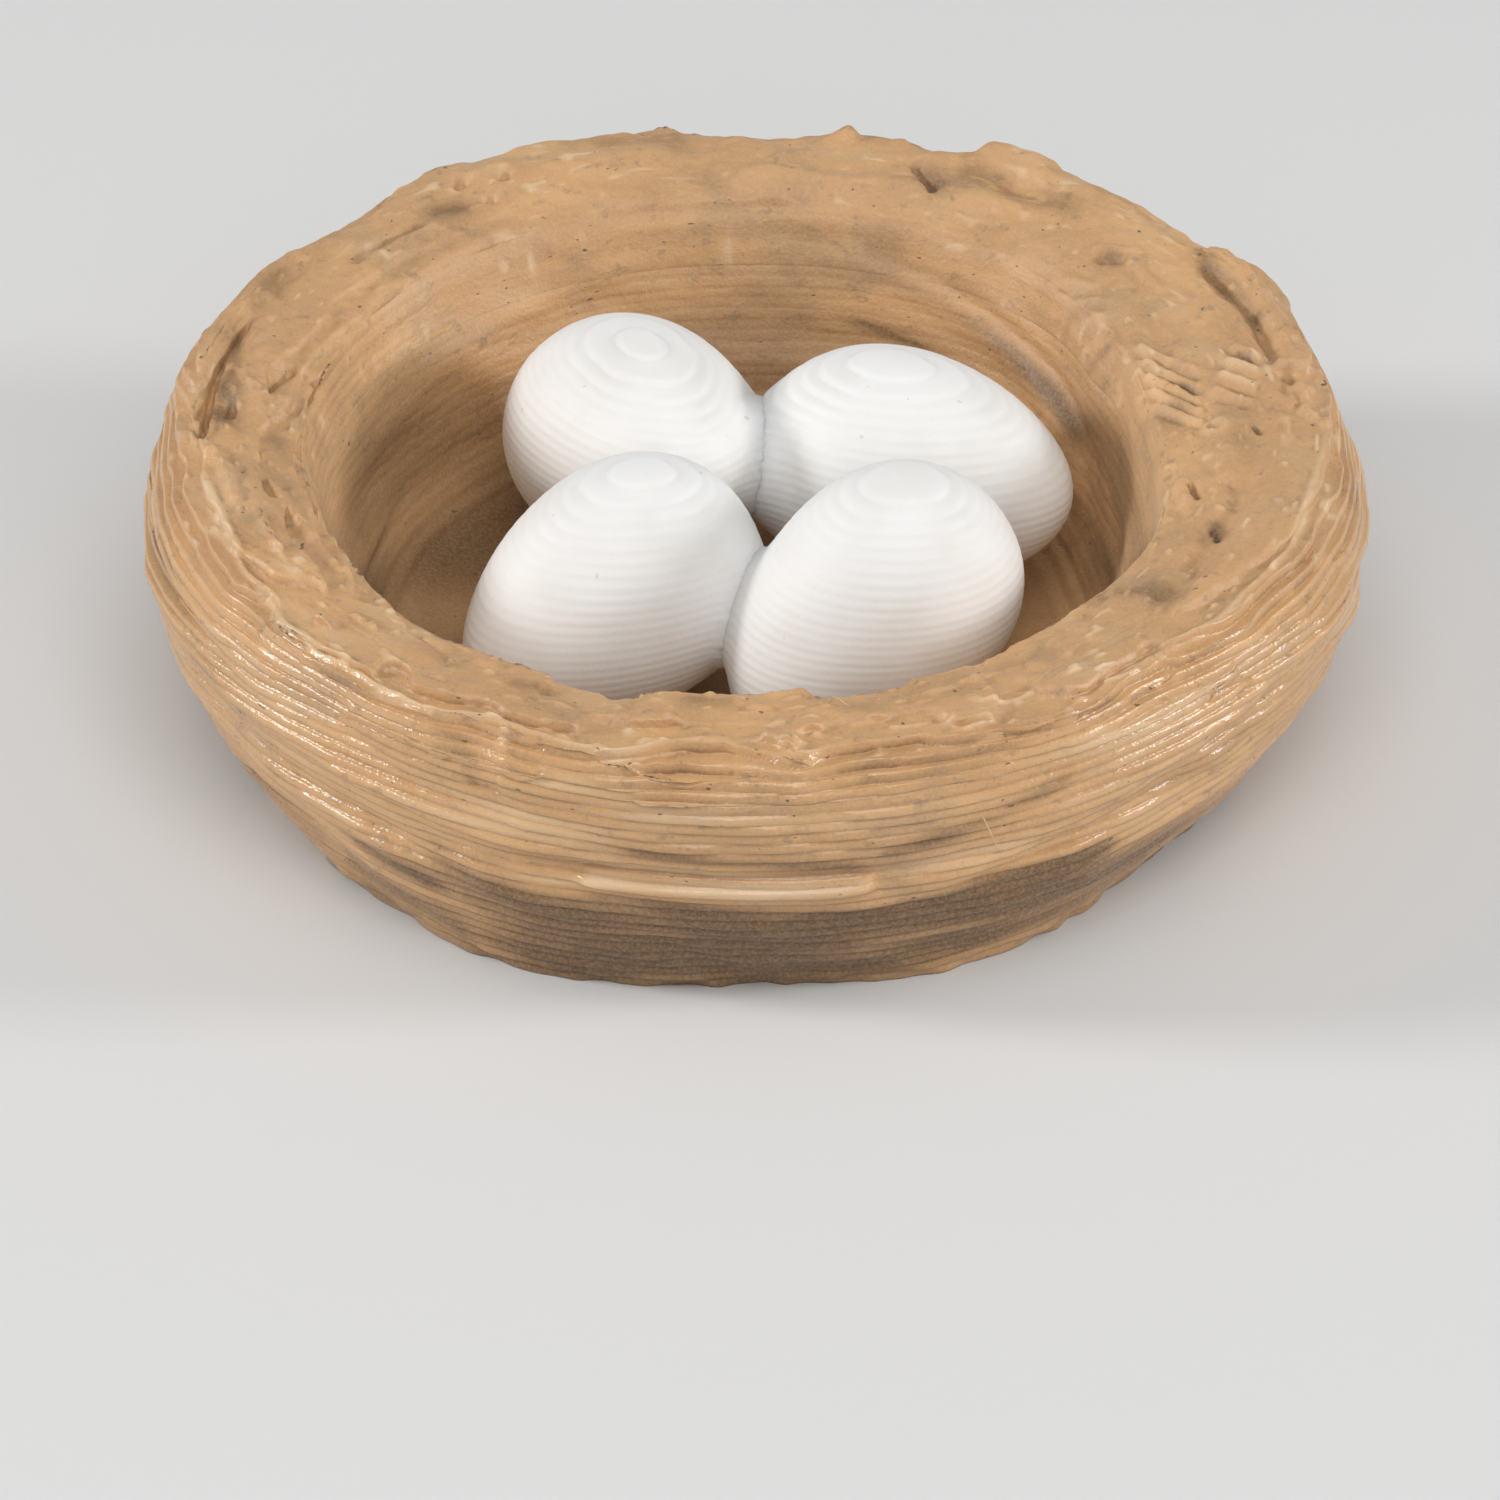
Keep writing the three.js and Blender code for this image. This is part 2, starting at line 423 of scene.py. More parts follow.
class NodeBench:
    """Small workbench for a material's nodes."""

    def __init__(self, name: str) -> None:
        """Starts an empty node material.

        Args:
            name: Name of the material.
        """
        self.material = bpy.data.materials.new(name)
        self.material.use_nodes = True
        self.tree = self.material.node_tree
        self.tree.nodes.clear()
        self.output = self.add("ShaderNodeOutputMaterial")

    def add(self, kind: str, **settings: object) -> bpy.types.Node:
        """Adds a node.

        Args:
            kind: Node type.
            settings: Properties, or input values by socket name with _ for spaces.

        Returns:
            The new node.
        """
        node = self.tree.nodes.new(kind)
        for key, value in settings.items():
            socket = node.inputs.get(key.replace("_", " "))
            if socket is not None:
                socket.default_value = value
            else:
                setattr(node, key, value)
        return node

    def link(self, start: bpy.types.NodeSocket, end: bpy.types.NodeSocket) -> None:
        """Joins two sockets."""
        self.tree.links.new(start, end)

    def millimetres(self, stretch: Triple) -> bpy.types.NodeSocket:
        """Object coordinates in mm.

        Args:
            stretch: Factor per axis.

        Returns:
            The vector socket.
        """
        coordinates = self.add("ShaderNodeTexCoord")
        scale = tuple(1000.0 * factor for factor in stretch)
        mapping = self.add("ShaderNodeMapping", vector_type="POINT", Scale=scale)
        self.link(coordinates.outputs["Object"], mapping.inputs["Vector"])
        return mapping.outputs["Vector"]

    def noise(
        self,
        scale: float,
        detail: float,
        stretch: Triple = (1.0, 1.0, 1.0),
        roughness: float = 0.55,
    ) -> bpy.types.NodeSocket:
        """Noise per mm.

        Args:
            scale: Cells per mm.
            detail: Number of finer layers.
            stretch: Factor per axis.
            roughness: Strength of the finer layers.

        Returns:
            The value socket.
        """
        texture = self.add(
            "ShaderNodeTexNoise", Scale=scale, Detail=detail, Roughness=roughness
        )
        self.link(self.millimetres(stretch), texture.inputs["Vector"])
        return texture.outputs["Fac"]

    def ramp(
        self, value: bpy.types.NodeSocket, low: float, high: float
    ) -> bpy.types.NodeSocket:
        """Eases a value from 0 to 1.

        Args:
            value: The value socket.
            low: Value that gives 0.
            high: Value that gives 1.

        Returns:
            The eased value's socket.
        """
        span = self.add(
            "ShaderNodeMapRange",
            interpolation_type="SMOOTHSTEP",
            From_Min=low,
            From_Max=high,
        )
        self.link(value, span.inputs["Value"])
        return span.outputs["Result"]

    def scaled(
        self, value: bpy.types.NodeSocket, factor: float
    ) -> bpy.types.NodeSocket:
        """Multiplies a value.

        Args:
            value: The value socket.
            factor: What it is multiplied by.

        Returns:
            The product's socket.
        """
        product = self.add("ShaderNodeMath", operation="MULTIPLY")
        self.link(value, product.inputs[0])
        product.inputs[1].default_value = factor
        return product.outputs[0]

    def mix(
        self,
        share: bpy.types.NodeSocket,
        first: bpy.types.NodeSocket | Triple,
        second: bpy.types.NodeSocket | Triple,
    ) -> bpy.types.NodeSocket:
        """Mixes two colours.

        Args:
            share: Share of the second colour.
            first: Colour, or the socket of one.
            second: Colour, or the socket of one.

        Returns:
            The mixed colour's socket.
        """
        mixer = self.add("ShaderNodeMix", data_type="RGBA")
        mixer.clamp_factor = True
        self.link(share, mixer.inputs[0])
        for socket, colour in ((mixer.inputs[6], first), (mixer.inputs[7], second)):
            if isinstance(colour, tuple):
                socket.default_value = (*colour, 1.0)
            else:
                self.link(colour, socket)
        return mixer.outputs[2]

    def relief(
        self,
        height: bpy.types.NodeSocket,
        depth: float,
        strength: float,
        before: bpy.types.NodeSocket | None = None,
    ) -> bpy.types.NodeSocket:
        """Turns a height into a bump.

        Args:
            height: The height's socket.
            depth: Depth of the bump in mm.
            strength: Strength of the bump.
            before: Normal of an earlier bump that this one is laid over.

        Returns:
            The normal's socket.
        """
        bump = self.add("ShaderNodeBump", Strength=strength, Distance=depth * MM)
        self.link(height, bump.inputs["Height"])
        if before is not None:
            self.link(before, bump.inputs["Normal"])
        return bump.outputs["Normal"]

    def finished(
        self,
        shader: bpy.types.Node,
        colour: bpy.types.NodeSocket,
        normal: bpy.types.NodeSocket | None = None,
    ) -> bpy.types.Material:
        """Joins a shader to its colour, its normal and the output.

        Args:
            shader: The shader node.
            colour: Socket of the base colour.
            normal: Socket of the bump's normal.

        Returns:
            The finished material.
        """
        self.link(colour, shader.inputs["Base Color"])
        if normal is not None:
            self.link(normal, shader.inputs["Normal"])
        self.link(shader.outputs[0], self.output.inputs["Surface"])
        return self.material


@dataclass(frozen=True)
class WoodFilament:
    """Tan wood-filled plastic: mottled, streaked along the layers, specked."""

    tan: Triple = (0.54, 0.305, 0.134)
    gold: Triple = (0.625, 0.358, 0.154)
    grey: Triple = (0.305, 0.19, 0.1)
    brown: Triple = (0.144, 0.071, 0.021)
    speck: Triple = (0.07, 0.045, 0.03)
    pale: Triple = (0.74, 0.52, 0.31)
    matt: float = 0.56
    shiny: float = 0.17

    def material(self) -> bpy.types.Material:
        """Makes the material.

        Returns:
            The new material, which reads a mesh's tone and gloss.
        """
        bench = NodeBench("wood_filled_filament")
        blotch = bench.noise(0.55, 5.0, roughness=0.6)
        streak = bench.noise(1.0, 4.0, stretch=(0.22, 0.22, 2.4))
        mottle = bench.noise(2.6, 4.0, stretch=(1.0, 1.0, 1.6), roughness=0.65)
        grain = bench.noise(16.0, 2.0)
        specks = bench.noise(7.0, 1.0, stretch=(0.7, 0.7, 1.8))
        # The tone attribute darkens towards brown and lightens towards pale. Besides
        # the filament's own darker and lighter stretches, it carries painted shade
        # (bead grooves, tread corners, pits and grooves of the rim, the foot, the cup)
        # and painted highlights (the rim's edge bead, its flecks and ribs, one glint).
        tone = bench.add("ShaderNodeAttribute", attribute_name="tone").outputs["Fac"]
        colour = bench.mix(bench.ramp(streak, 0.4, 0.66), self.tan, self.gold)
        for share, added in (
            (bench.scaled(bench.ramp(blotch, 0.52, 0.72), 0.5), self.grey),
            (bench.scaled(bench.ramp(mottle, 0.56, 0.72), 0.68), self.grey),
            (bench.ramp(bench.scaled(tone, -1.0), 0.0, 1.0), self.brown),
            (bench.ramp(tone, 0.0, 1.0), self.pale),
            (bench.scaled(bench.ramp(specks, 0.75, 0.79), 0.85), self.speck),
            (bench.scaled(bench.ramp(grain, 0.35, 0.7), 0.15), self.pale),
        ):
            colour = bench.mix(share, colour, added)
        shader = bench.add(
            "ShaderNodeBsdfPrincipled",
            Subsurface_Weight=0.16,
            Subsurface_Radius=(1.0, 0.42, 0.16),
            Subsurface_Scale=0.35 * MM,
            Specular_IOR_Level=0.75,
            Sheen_Weight=0.08,
            Sheen_Roughness=0.4,
        )
        gloss = bench.add("ShaderNodeAttribute", attribute_name="gloss")
        matt = bench.add("ShaderNodeMapRange", To_Min=self.matt, To_Max=self.shiny)
        bench.link(gloss.outputs["Fac"], matt.inputs["Value"])
        rough = bench.add("ShaderNodeMath", operation="ADD")
        bench.link(matt.outputs["Result"], rough.inputs[0])
        bench.link(bench.scaled(mottle, 0.14), rough.inputs[1])
        bench.link(rough.outputs[0], shader.inputs["Roughness"])
        normal = bench.relief(mottle, 0.05, 0.5)
        normal = bench.relief(grain, 0.02, 0.6, normal)
        return bench.finished(shader, colour, normal)


@dataclass(frozen=True)
class WhiteFilament:
    """White plastic, slightly milky, with a faint unevenness."""

    white: Triple = (0.84, 0.83, 0.81)
    cream: Triple = (0.81, 0.795, 0.765)
    speck: Triple = (0.5, 0.46, 0.42)

    def material(self) -> bpy.types.Material:
        """Makes the material.

        Returns:
            The new material.
        """
        bench = NodeBench("white_filament")
        cloud, specks = bench.noise(0.8, 3.0), bench.noise(4.0, 1.0)
        colour = bench.mix(bench.ramp(cloud, 0.4, 0.7), self.white, self.cream)
        speck_share = bench.scaled(bench.ramp(specks, 0.76, 0.8), 0.4)
        colour = bench.mix(speck_share, colour, self.speck)
        shader = bench.add(
            "ShaderNodeBsdfPrincipled",
            Subsurface_Weight=0.6,
            Subsurface_Radius=(1.0, 0.9, 0.8),
            Subsurface_Scale=0.7 * MM,
            Roughness=0.58,
            Specular_IOR_Level=0.35,
        )
        normal = bench.relief(bench.noise(11.0, 2.0), 0.01, 0.4)
        return bench.finished(shader, colour, normal)


@dataclass(frozen=True)
class PaleBoard:
    """Plain pale board under the nest."""

    colour: Triple = (0.72, 0.715, 0.705)

    def material(self) -> bpy.types.Material:
        """Makes the material.

        Returns:
            The new material.
        """
        bench = NodeBench("pale_board")
        shade = tuple(0.97 * part for part in self.colour)
        colour = bench.mix(bench.noise(0.02, 2.0), self.colour, shade)
        shader = bench.add("ShaderNodeBsdfPrincipled", Roughness=0.7)
        return bench.finished(shader, colour)


# ---- the nest --------------------------------------------------------------


@dataclass
class NestBowl:
    """The printed bowl: wall, shoulder, rim and cup as skins that meet.

    Angles are degrees from +X seen from above, sizes are mm.
    """

    columns: int = 900
    bulge_height: float = 4.1
    floor_height: float = 1.36
    seam_layer: int = 23
    lowest_cup_layer: int = 12
    floor_edge_rows: int = 34
    floor_rows: int = 20
    shoulder_rows: int = 40
    crown_rows: int = 60
    mouth_rows: int = 24
    even_rows: int = 240
    crown: float = 0.1
    corners: Triple = (0.05, 0.2, 0.3)
    bead_depth: float = 0.055
    cup_bead_depth: float = 0.012
    foot: Knots = (
        (0, 8.7), (35, 8.9), (90, 9.0), (150, 8.9), (195, 8.7), (222, 8.95),
        (243, 9.4), (256, 9.3), (270, 9.08), (286, 9.25), (303, 8.95), (322, 8.5),
    )
    bulge: Knots = (
        (0, 10.5), (25, 10.45), (60, 10.6), (95, 10.5), (130, 10.3), (160, 10.3),
        (178, 10.45), (200, 10.45), (225, 10.3), (250, 10.5), (272, 10.6),
        (300, 10.5), (325, 10.45), (345, 10.6),
    )
    rim_outer: Knots = (
        (0, 9.95), (10, 10.05), (20, 10.15), (29, 10.4), (34, 10.35), (37, 9.95),
        (46, 10.1), (58, 10.5), (65, 10.6), (69, 10.15), (74, 10.25), (80, 10.45),
        (84, 10.2), (89, 10.0), (97, 10.35), (108, 10.45), (120, 10.4),
        (129, 10.2), (133, 9.85), (146, 9.95), (158, 10.0), (169, 9.95),
        (173, 9.6), (190, 9.5), (202, 9.55), (208, 9.7), (214, 9.72), (218, 10.05),
        (227, 10.06), (236, 10.22), (240, 10.2), (244, 10.03), (249, 10.18),
        (256, 10.32), (259, 10.18), (262, 9.88), (269, 9.72), (272, 9.78),
        (274, 10.16), (277, 10.0), (283, 9.72), (290, 9.86), (298, 10.22),
        (304, 10.08), (311, 9.79), (322, 9.95), (328, 9.87), (337, 9.9), (347, 9.8),
    )
    mouth: Knots = (
        (0, 7.05), (28, 7.2), (45, 7.7), (62, 8.05), (90, 8.15), (120, 8.05),
        (150, 7.8), (180, 7.7), (205, 7.75), (225, 8.15), (245, 8.3), (270, 8.35),
        (293, 8.15), (313, 7.75), (338, 7.45),
    )
    rim_height: Knots = (
        (0, 5.55), (25, 5.68), (60, 5.8), (90, 5.78), (118, 5.82), (150, 5.78),
        (170, 5.72), (176, 5.5), (200, 5.46), (216, 5.34), (230, 5.2), (250, 5.15),
        (290, 5.15), (312, 5.2), (328, 5.35), (345, 5.5),
    )
    mouth_height: Knots = (
        (0, 5.2), (45, 5.25), (90, 5.4), (140, 5.45), (180, 5.25), (225, 5.15),
        (270, 5.18), (315, 5.15),
    )
    rounding: Knots = (
        (0, 0.2), (30, 0.24), (60, 0.26), (90, 0.28), (120, 0.26), (150, 0.2),
        (190, 0.13), (230, 0.07), (270, 0.05), (310, 0.06), (340, 0.1),
    )
    crispness: Knots = (
        (0, 0.3), (40, 0.22), (90, 0.15), (130, 0.25), (150, 0.5), (170, 0.7),
        (200, 0.95), (250, 0.9), (285, 0.75), (320, 0.55), (345, 0.4),
    )
    inner_crispness: Knots = (
        (0, 0.4), (90, 0.4), (125, 0.6), (150, 0.8), (205, 0.7), (250, 0.5), (330, 0.4),
    )
    edge_bead: Knots = (
        (0, 0.4), (12, 0), (185, 0), (196, 1), (262, 0.9), (276, 0.3), (290, 0.3),
        (310, 0.8), (350, 0.8),
    )
    wall_curve: Knots = ((0, 0), (0.12, 0.2), (0.34, 0.52), (0.66, 0.86), (1, 1))
    shoulder_curve: Knots = (
        (0, 0), (0.35, 0.12), (0.65, 0.36), (0.86, 0.66), (1, 1),
    )
    cup_curve: Knots = (
        (0, 0.7), (0.015, 0.755), (0.06, 0.805), (0.14, 0.845), (0.3, 0.89),
        (0.55, 0.935), (0.8, 0.97), (1, 1),
    )
    strands: tuple[Band, ...] = (
        Band((182, 3.9), (262, 3.0), 0.34, 0.14, under=0.45),
        Band((196, 3.1), (246, 2.1), 0.3, -0.12),
        Band((205, 2.3), (283, 1.5), 0.42, 0.12, under=0.4),
        Band((253, 2.56), (282, 2.62), 0.2, 0.15, 14.0, 0.6),
        Band((248, 2.85), (296, 2.95), 0.2, -0.13),
        Band((286, 2.2), (336, 3.8), 0.24, -0.15),
        Band((292, 3.1), (350, 4.3), 0.36, 0.1, under=0.4),
        Band((262, 0.75), (330, 2.1), 0.4, 0.1),
        Band((340, 3.2), (40, 1.6), 0.4, 0.14, under=0.5),
        Band((350, 2.2), (55, 3.6), 0.3, -0.12),
        Band((30, 3.4), (108, 2.2), 0.42, 0.14, under=0.5),
        Band((60, 1.7), (128, 3.5), 0.3, -0.12),
        Band((100, 1.3), (165, 2.6), 0.42, 0.13, under=0.5),
        Band((128, 3.9), (190, 2.7), 0.3, -0.12),
    )
    ledges: tuple[Band, ...] = (
        Band((222, 4.9), (247.7, 4.86), 0.1, 0.1, 50.0),
        Band((229, 4.6), (250.9, 4.57), 0.1, 0.09, 50.0),
        Band((243, 4.14), (246.5, 4.18), 0.09, -0.1, 9.0),
        Band((318, 4.35), (324.5, 4.12), 0.1, -0.12),
        Band((209, 1.9), (252, 2.42), 0.09, 0.05),
        Band((255, 2.64), (281.5, 2.68), 0.1, 0.05, 60.0),
        Band((300, 4.5), (322, 4.5), 0.12, 0.06, 30.0),
        Band((334, 4.2), (10, 4.3), 0.12, 0.07, 20.0),
        Band((186, 4.4), (214, 4.1), 0.12, -0.08),
        Band((196, 3.6), (232, 3.2), 0.1, 0.05),
        Band((300, 2.9), (326, 3.3), 0.1, 0.06),
    )
    tracks: tuple[Band, ...] = (
        Band((143, 9.72), (174, 9.62), 0.26, 0.12, 12.0),
        Band((156, 9.34), (183, 9.42), 0.11, -0.3, 5.0),
        Band((12, 9.8), (38, 10.05), 0.24, 0.12, 12.0),
        Band((11, 9.3), (37, 9.72), 0.19, -0.23, 6.0),
        Band((52, 9.6), (67, 10.2), 0.3, 0.16),
        Band((96, 9.4), (124, 9.7), 0.4, 0.12),
        Band((118, 8.9), (150, 8.5), 0.2, 0.1),
        Band((186, 8.6), (214, 9.1), 0.16, 0.12, 12.0),
        Band((205, 8.7), (236, 9.2), 0.2, 0.1),
        Band((326, 8.7), (352, 8.5), 0.25, -0.14),
        Band((300, 9.4), (345, 9.0), 0.2, 0.1),
        Band((345, 8.3), (25, 8.0), 0.18, 0.09),
        Band((58, 8.9), (95, 8.7), 0.22, 0.12),
    )
    mounds: tuple[Mark, ...] = (
        Mark((-2.3, -10.1), (-1.9, -10.1), 0.3, -0.08),
        Mark((-1.3, -9.9), (-0.5, -9.95), 0.35, -0.09),
        Mark((0.3, -9.75), (0.5, -9.95), 0.3, 0.12),
        Mark((1.2, -10.1), (1.9, -10.0), 0.3, -0.06),
        Mark((-3.5, -9.9), (-2.8, -10.1), 0.3, 0.07),
        Mark((3.2, -9.4), (3.9, -9.2), 0.3, 0.08),
        Mark((4.5, -8.7), (5.0, -8.4), 0.3, -0.07),
        Mark((-8.4, -3.3), (-7.9, -4.7), 0.22, 0.1),
        Mark((-8.1, -5.2), (-8.0, -5.6), 0.2, -0.12),
        Mark((-7.2, -6.2), (-6.6, -6.9), 0.24, 0.1),
        Mark((-6.0, -7.6), (-5.9, -7.9), 0.2, -0.12),
        Mark((-5.5, -8.0), (-4.9, -8.3), 0.22, 0.1),
        Mark((-3.9, -8.9), (-3.0, -9.3), 0.18, 0.09),
        Mark((5.0, -8.1), (6.2, -7.1), 0.26, 0.09),
        Mark((6.7, -6.9), (6.9, -7.2), 0.18, -0.1),
        Mark((7.3, -5.8), (8.1, -4.5), 0.26, 0.08),
        Mark((8.6, -3.9), (9.0, -2.6), 0.2, 0.08),
        Mark((1.7, 10.0), (1.75, 10.1), 0.15, 0.17),
        Mark((4.2, 9.3), (5.2, 8.75), 0.24, 0.16),
        Mark((-5.7, 8.6), (-5.2, 8.9), 0.2, 0.12),
    )
    rim_marks: tuple[Mark, ...] = (
        Mark((-8.93, 0.85), (-8.98, 0.55), 0.13, -0.24),
        Mark((-9.55, 0.42), (-9.0, 0.0), 0.09, 0.1),
        Mark((-8.75, 1.7), (-8.62, 1.2), 0.09, 0.09),
        Mark((-8.03, 2.08), (-8.36, 1.38), 0.1, -0.22),
        Mark((-7.6, 2.08), (-7.62, 2), 0.09, -0.16),
        Mark((-7.9, 1.03), (-7.92, 0.9), 0.09, -0.16),
        Mark((-8.3, 2.6), (-8.5, 2.3), 0.12, 0.1),
        Mark((-8.45, 1.9), (-8.6, 1.7), 0.1, 0.1),
        Mark((-5.15, 8.16), (-5.1, 8.2), 0.14, -0.25),
        Mark((-4.61, 7.79), (-4.6, 7.75), 0.12, -0.22),
        Mark((-4.41, 8.34), (-4.35, 8.36), 0.11, -0.2),
        Mark((-6.91, 5.62), (-5.83, 6.81), 0.12, -0.13),
        Mark((-9.7, 0.1), (-9.2, -0.9), 0.1, 0.14),
        Mark((-9.2, -0.9), (-8.95, -1.3), 0.1, 0.12),
        Mark((-9, -1.4), (-8.8, -2.4), 0.09, 0.12),
        Mark((-8.2, -1.6), (-7.7, -2.9), 0.09, 0.12),
        Mark((-7.7, -2.9), (-7.5, -3.4), 0.09, 0.1),
        Mark((2.95, 9), (3.22, 8.27), 0.12, -0.24),
        Mark((6.15, 5.9), (6.5, 5.72), 0.11, -0.18),
        Mark((6.1, 6.12), (6.75, 5.98), 0.12, 0.08),
        Mark((6.62, 5.7), (7.1, 4.9), 0.12, 0.09),
        Mark((9.24, 1.75), (9.34, 1.5), 0.15, -0.26),
        Mark((9.05, 2.4), (9.15, 1.97), 0.09, 0.09),
        Mark((9.2, 2.05), (9.67, 1.97), 0.1, 0.12),
        Mark((9.4, 1.45), (9.57, 0.95), 0.09, 0.11),
        Mark((9.57, 0.95), (9.52, 0.5), 0.09, 0.1),
        Mark((9.52, 0.5), (9.92, 0.1), 0.1, 0.11),
        Mark((7.5, -1.6), (7.62, -2.0), 0.06, -0.14),
        Mark((7.35, -1.4), (7.4, -2.1), 0.1, 0.1),
        Mark((8.64, 0.1), (8.72, -0.08), 0.06, -0.12),
        Mark((8.05, -1.56), (8.18, -1.6), 0.07, -0.14),
        Mark((7.86, -3.15), (7.94, -3.45), 0.05, -0.1),
        Mark((9.38, -3.72), (9.4, -3.84), 0.07, -0.12),
        Mark((4.7, 8.3), (5.2, 7.9), 0.3, -0.14),
        Mark((6.2, -5.33), (6.6, -5.42), 0.15, 0.12),
        Mark((3.3, -7.4), (3.9, -7.2), 0.06, -0.1),
        Mark((-2.4, -8.25), (-2, -8.25), 0.08, -0.2),
        Mark((-3.4, -7.9), (-3.2, -7.95), 0.12, 0.1),
        Mark((0.3, -8.12), (1, -8.15), 0.12, 0.16),
        Mark((1.15, -8.2), (1.5, -8.1), 0.1, -0.3),
        Mark((1.9, -8), (2.6, -7.85), 0.1, 0.12),
        Mark((-5.4, -6.55), (-5.2, -6.7), 0.14, 0.12),
        Mark((-4.5, -7.2), (-4.3, -7.3), 0.12, 0.1),
        Mark((-6.9, -4.5), (-6.6, -4.83), 0.1, 0.1),
        Mark((-7.2, -3.2), (-7, -3.3), 0.15, 0.12),
    )
    cup_strands: tuple[Band, ...] = (
        Band((20, 2.4), (85, 4.9), 0.3, 0.09),
        Band((25, 3.2), (95, 5.3), 0.18, -0.1),
        Band((60, 2.2), (140, 3.6), 0.35, 0.08),
        Band((100, 4.6), (170, 3.2), 0.3, 0.07),
        Band((300, 2.0), (20, 3.6), 0.3, 0.08),
        Band((150, 2.6), (215, 1.7), 0.25, 0.07),
    )
    nicks: tuple[Band, ...] = (
        Band((246.3, 5.3), (258.2, 5.3), 0.4, 0.36, 9.0),
        Band((258.6, 5.3), (277.4, 5.3), 0.4, -0.14, 12.0),
        Band((277.6, 5.3), (289, 5.3), 0.4, 0.16, 12.0),
        Band((231, 5.3), (245, 5.3), 0.4, -0.12, 4.0),
        Band((296, 5.3), (303, 5.3), 0.3, 0.12, 5.0),
        Band((196, 5.4), (204, 5.4), 0.3, 0.12, 4.0),
        Band((172, 5.4), (178, 5.4), 0.3, 0.1, 4.0),
    )
    tone_bands: tuple[Band, ...] = (
        Band((256, 3.4), (283, 3.0), 0.18, -0.8),
        Band((281, 2.75), (298, 3.0), 0.15, 0.1),
        Band((254, 2.62), (281.5, 2.68), 0.12, 0.6, 40.0),
        Band((222, 2.2), (258, 2.5), 0.1, 0.45),
        Band((200, 2.75), (250, 2.75), 0.08, 0.4),
        Band((280, 3.2), (303, 4.05), 0.22, -0.62),
        Band((234, 2.05), (278, 1.7), 0.34, -0.58, 3.0),
        Band((272, 1.87), (310, 2.2), 0.26, -0.75),
        Band((214, 2.0), (240, 1.5), 0.16, -0.5),
        Band((222, 0.9), (242, 0.5), 0.3, -0.35),
        Band((258, 2.12), (284, 2.02), 0.16, -0.45, 3.5),
        Band((262, 1.35), (282, 1.2), 0.4, -0.3, 3.5),
        Band((284, 3.42), (300, 3.6), 0.22, -0.25),
        Band((236, 2.45), (256, 2.7), 0.18, -0.35),
        Band((240, 0.6), (300, 0.6), 0.45, -0.25),
        Band((290, 1.5), (336, 1.0), 0.3, -0.45),
        Band((296, 3.35), (326, 2.5), 0.15, -0.4),
        Band((205, 3.0), (244, 2.2), 0.18, -0.35),
        Band((186, 3.9), (216, 3.4), 0.2, -0.2),
        Band((20, 2.4), (80, 3.4), 0.3, -0.3),
        Band((80, 1.2), (150, 2.2), 0.35, -0.35),
        Band((120, 3.2), (182, 2.6), 0.25, -0.3),
    )
    # Darker and lighter patches of the rim. Those over its pits and grooves and between
    # its ribs are painted shade, the light patch at (5.65, 8.05) is a painted glint,
    # and the others darken the rim in patches.
    patches_shade_and_glint: tuple[Mark, ...] = (
        Mark((-3.2, -9.0), (3.0, -9.1), 0.9, -0.12),
        Mark((-5.49, 7.32), (-5.2, 7.5), 0.35, -0.5),
        Mark((-2.5, 9.6), (-1.4, 9.8), 0.3, -0.4),
        Mark((3, 9), (3.3, 8.3), 0.2, -0.5),
        Mark((3.9, 8.7), (5.5, 7.3), 0.35, -0.5),
        Mark((5.65, 8.05), (5.7, 8), 0.17, 0.9),
        Mark((-8.8, 3), (-9.35, -0.3), 0.16, -0.55),
        Mark((-8.9, 1.1), (-9, 0.3), 0.25, -0.5),
        Mark((-8.5, 4.2), (-8.2, 4.8), 0.3, -0.35),
        Mark((-8.05, 2), (-8.35, 1.4), 0.13, -0.6),
        Mark((-8.1, -0.1), (-7.9, -0.9), 0.25, -0.45),
        Mark((-7.9, -1.5), (-7.9, -1.7), 0.15, -0.3),
        Mark((6.3, 5.87), (6.4, 5.8), 0.24, -0.6),
        Mark((7.9, 5.7), (8.75, 3.8), 0.22, -0.42),
        Mark((8.75, 3.8), (9.0, 2.6), 0.14, -0.42),
        Mark((9.25, 1.7), (9.33, 1.5), 0.14, -0.8),
        Mark((7.33, 2.46), (7.73, 2.04), 0.1, -0.55),
        Mark((8.46, 2.42), (8.78, 1.97), 0.1, -0.6),
        Mark((7.1, 2.1), (7.65, 1.62), 0.09, -0.3),
        Mark((7.2, 1.41), (7.64, 0.99), 0.1, -0.35),
        Mark((8.16, 1.27), (8.64, 1.06), 0.1, -0.35),
        Mark((7.5, -1.6), (7.62, -1.95), 0.08, -0.6),
        Mark((7.86, -3.15), (7.94, -3.45), 0.06, -0.8),
        Mark((8.64, 0.1), (8.72, -0.08), 0.07, -0.6),
        Mark((8.4, -0.3), (8.6, -0.9), 0.3, -0.3),
        Mark((7, 3), (7.6, 1), 0.3, -0.25),
        Mark((6.2, -5.08), (6.9, -5.33), 0.35, -0.4),
        Mark((4.2, -7.4), (5.4, -6.9), 0.3, -0.3),
        Mark((-3.9, -8.1), (-3.3, -8.3), 0.2, -0.4),
        Mark((-1, -8.5), (-0.4, -8.6), 0.25, -0.4),
        Mark((-5.6, -7.1), (-5, -7.4), 0.2, -0.3),
        Mark((7.9, -3), (8, -3.3), 0.18, -0.6),
    )
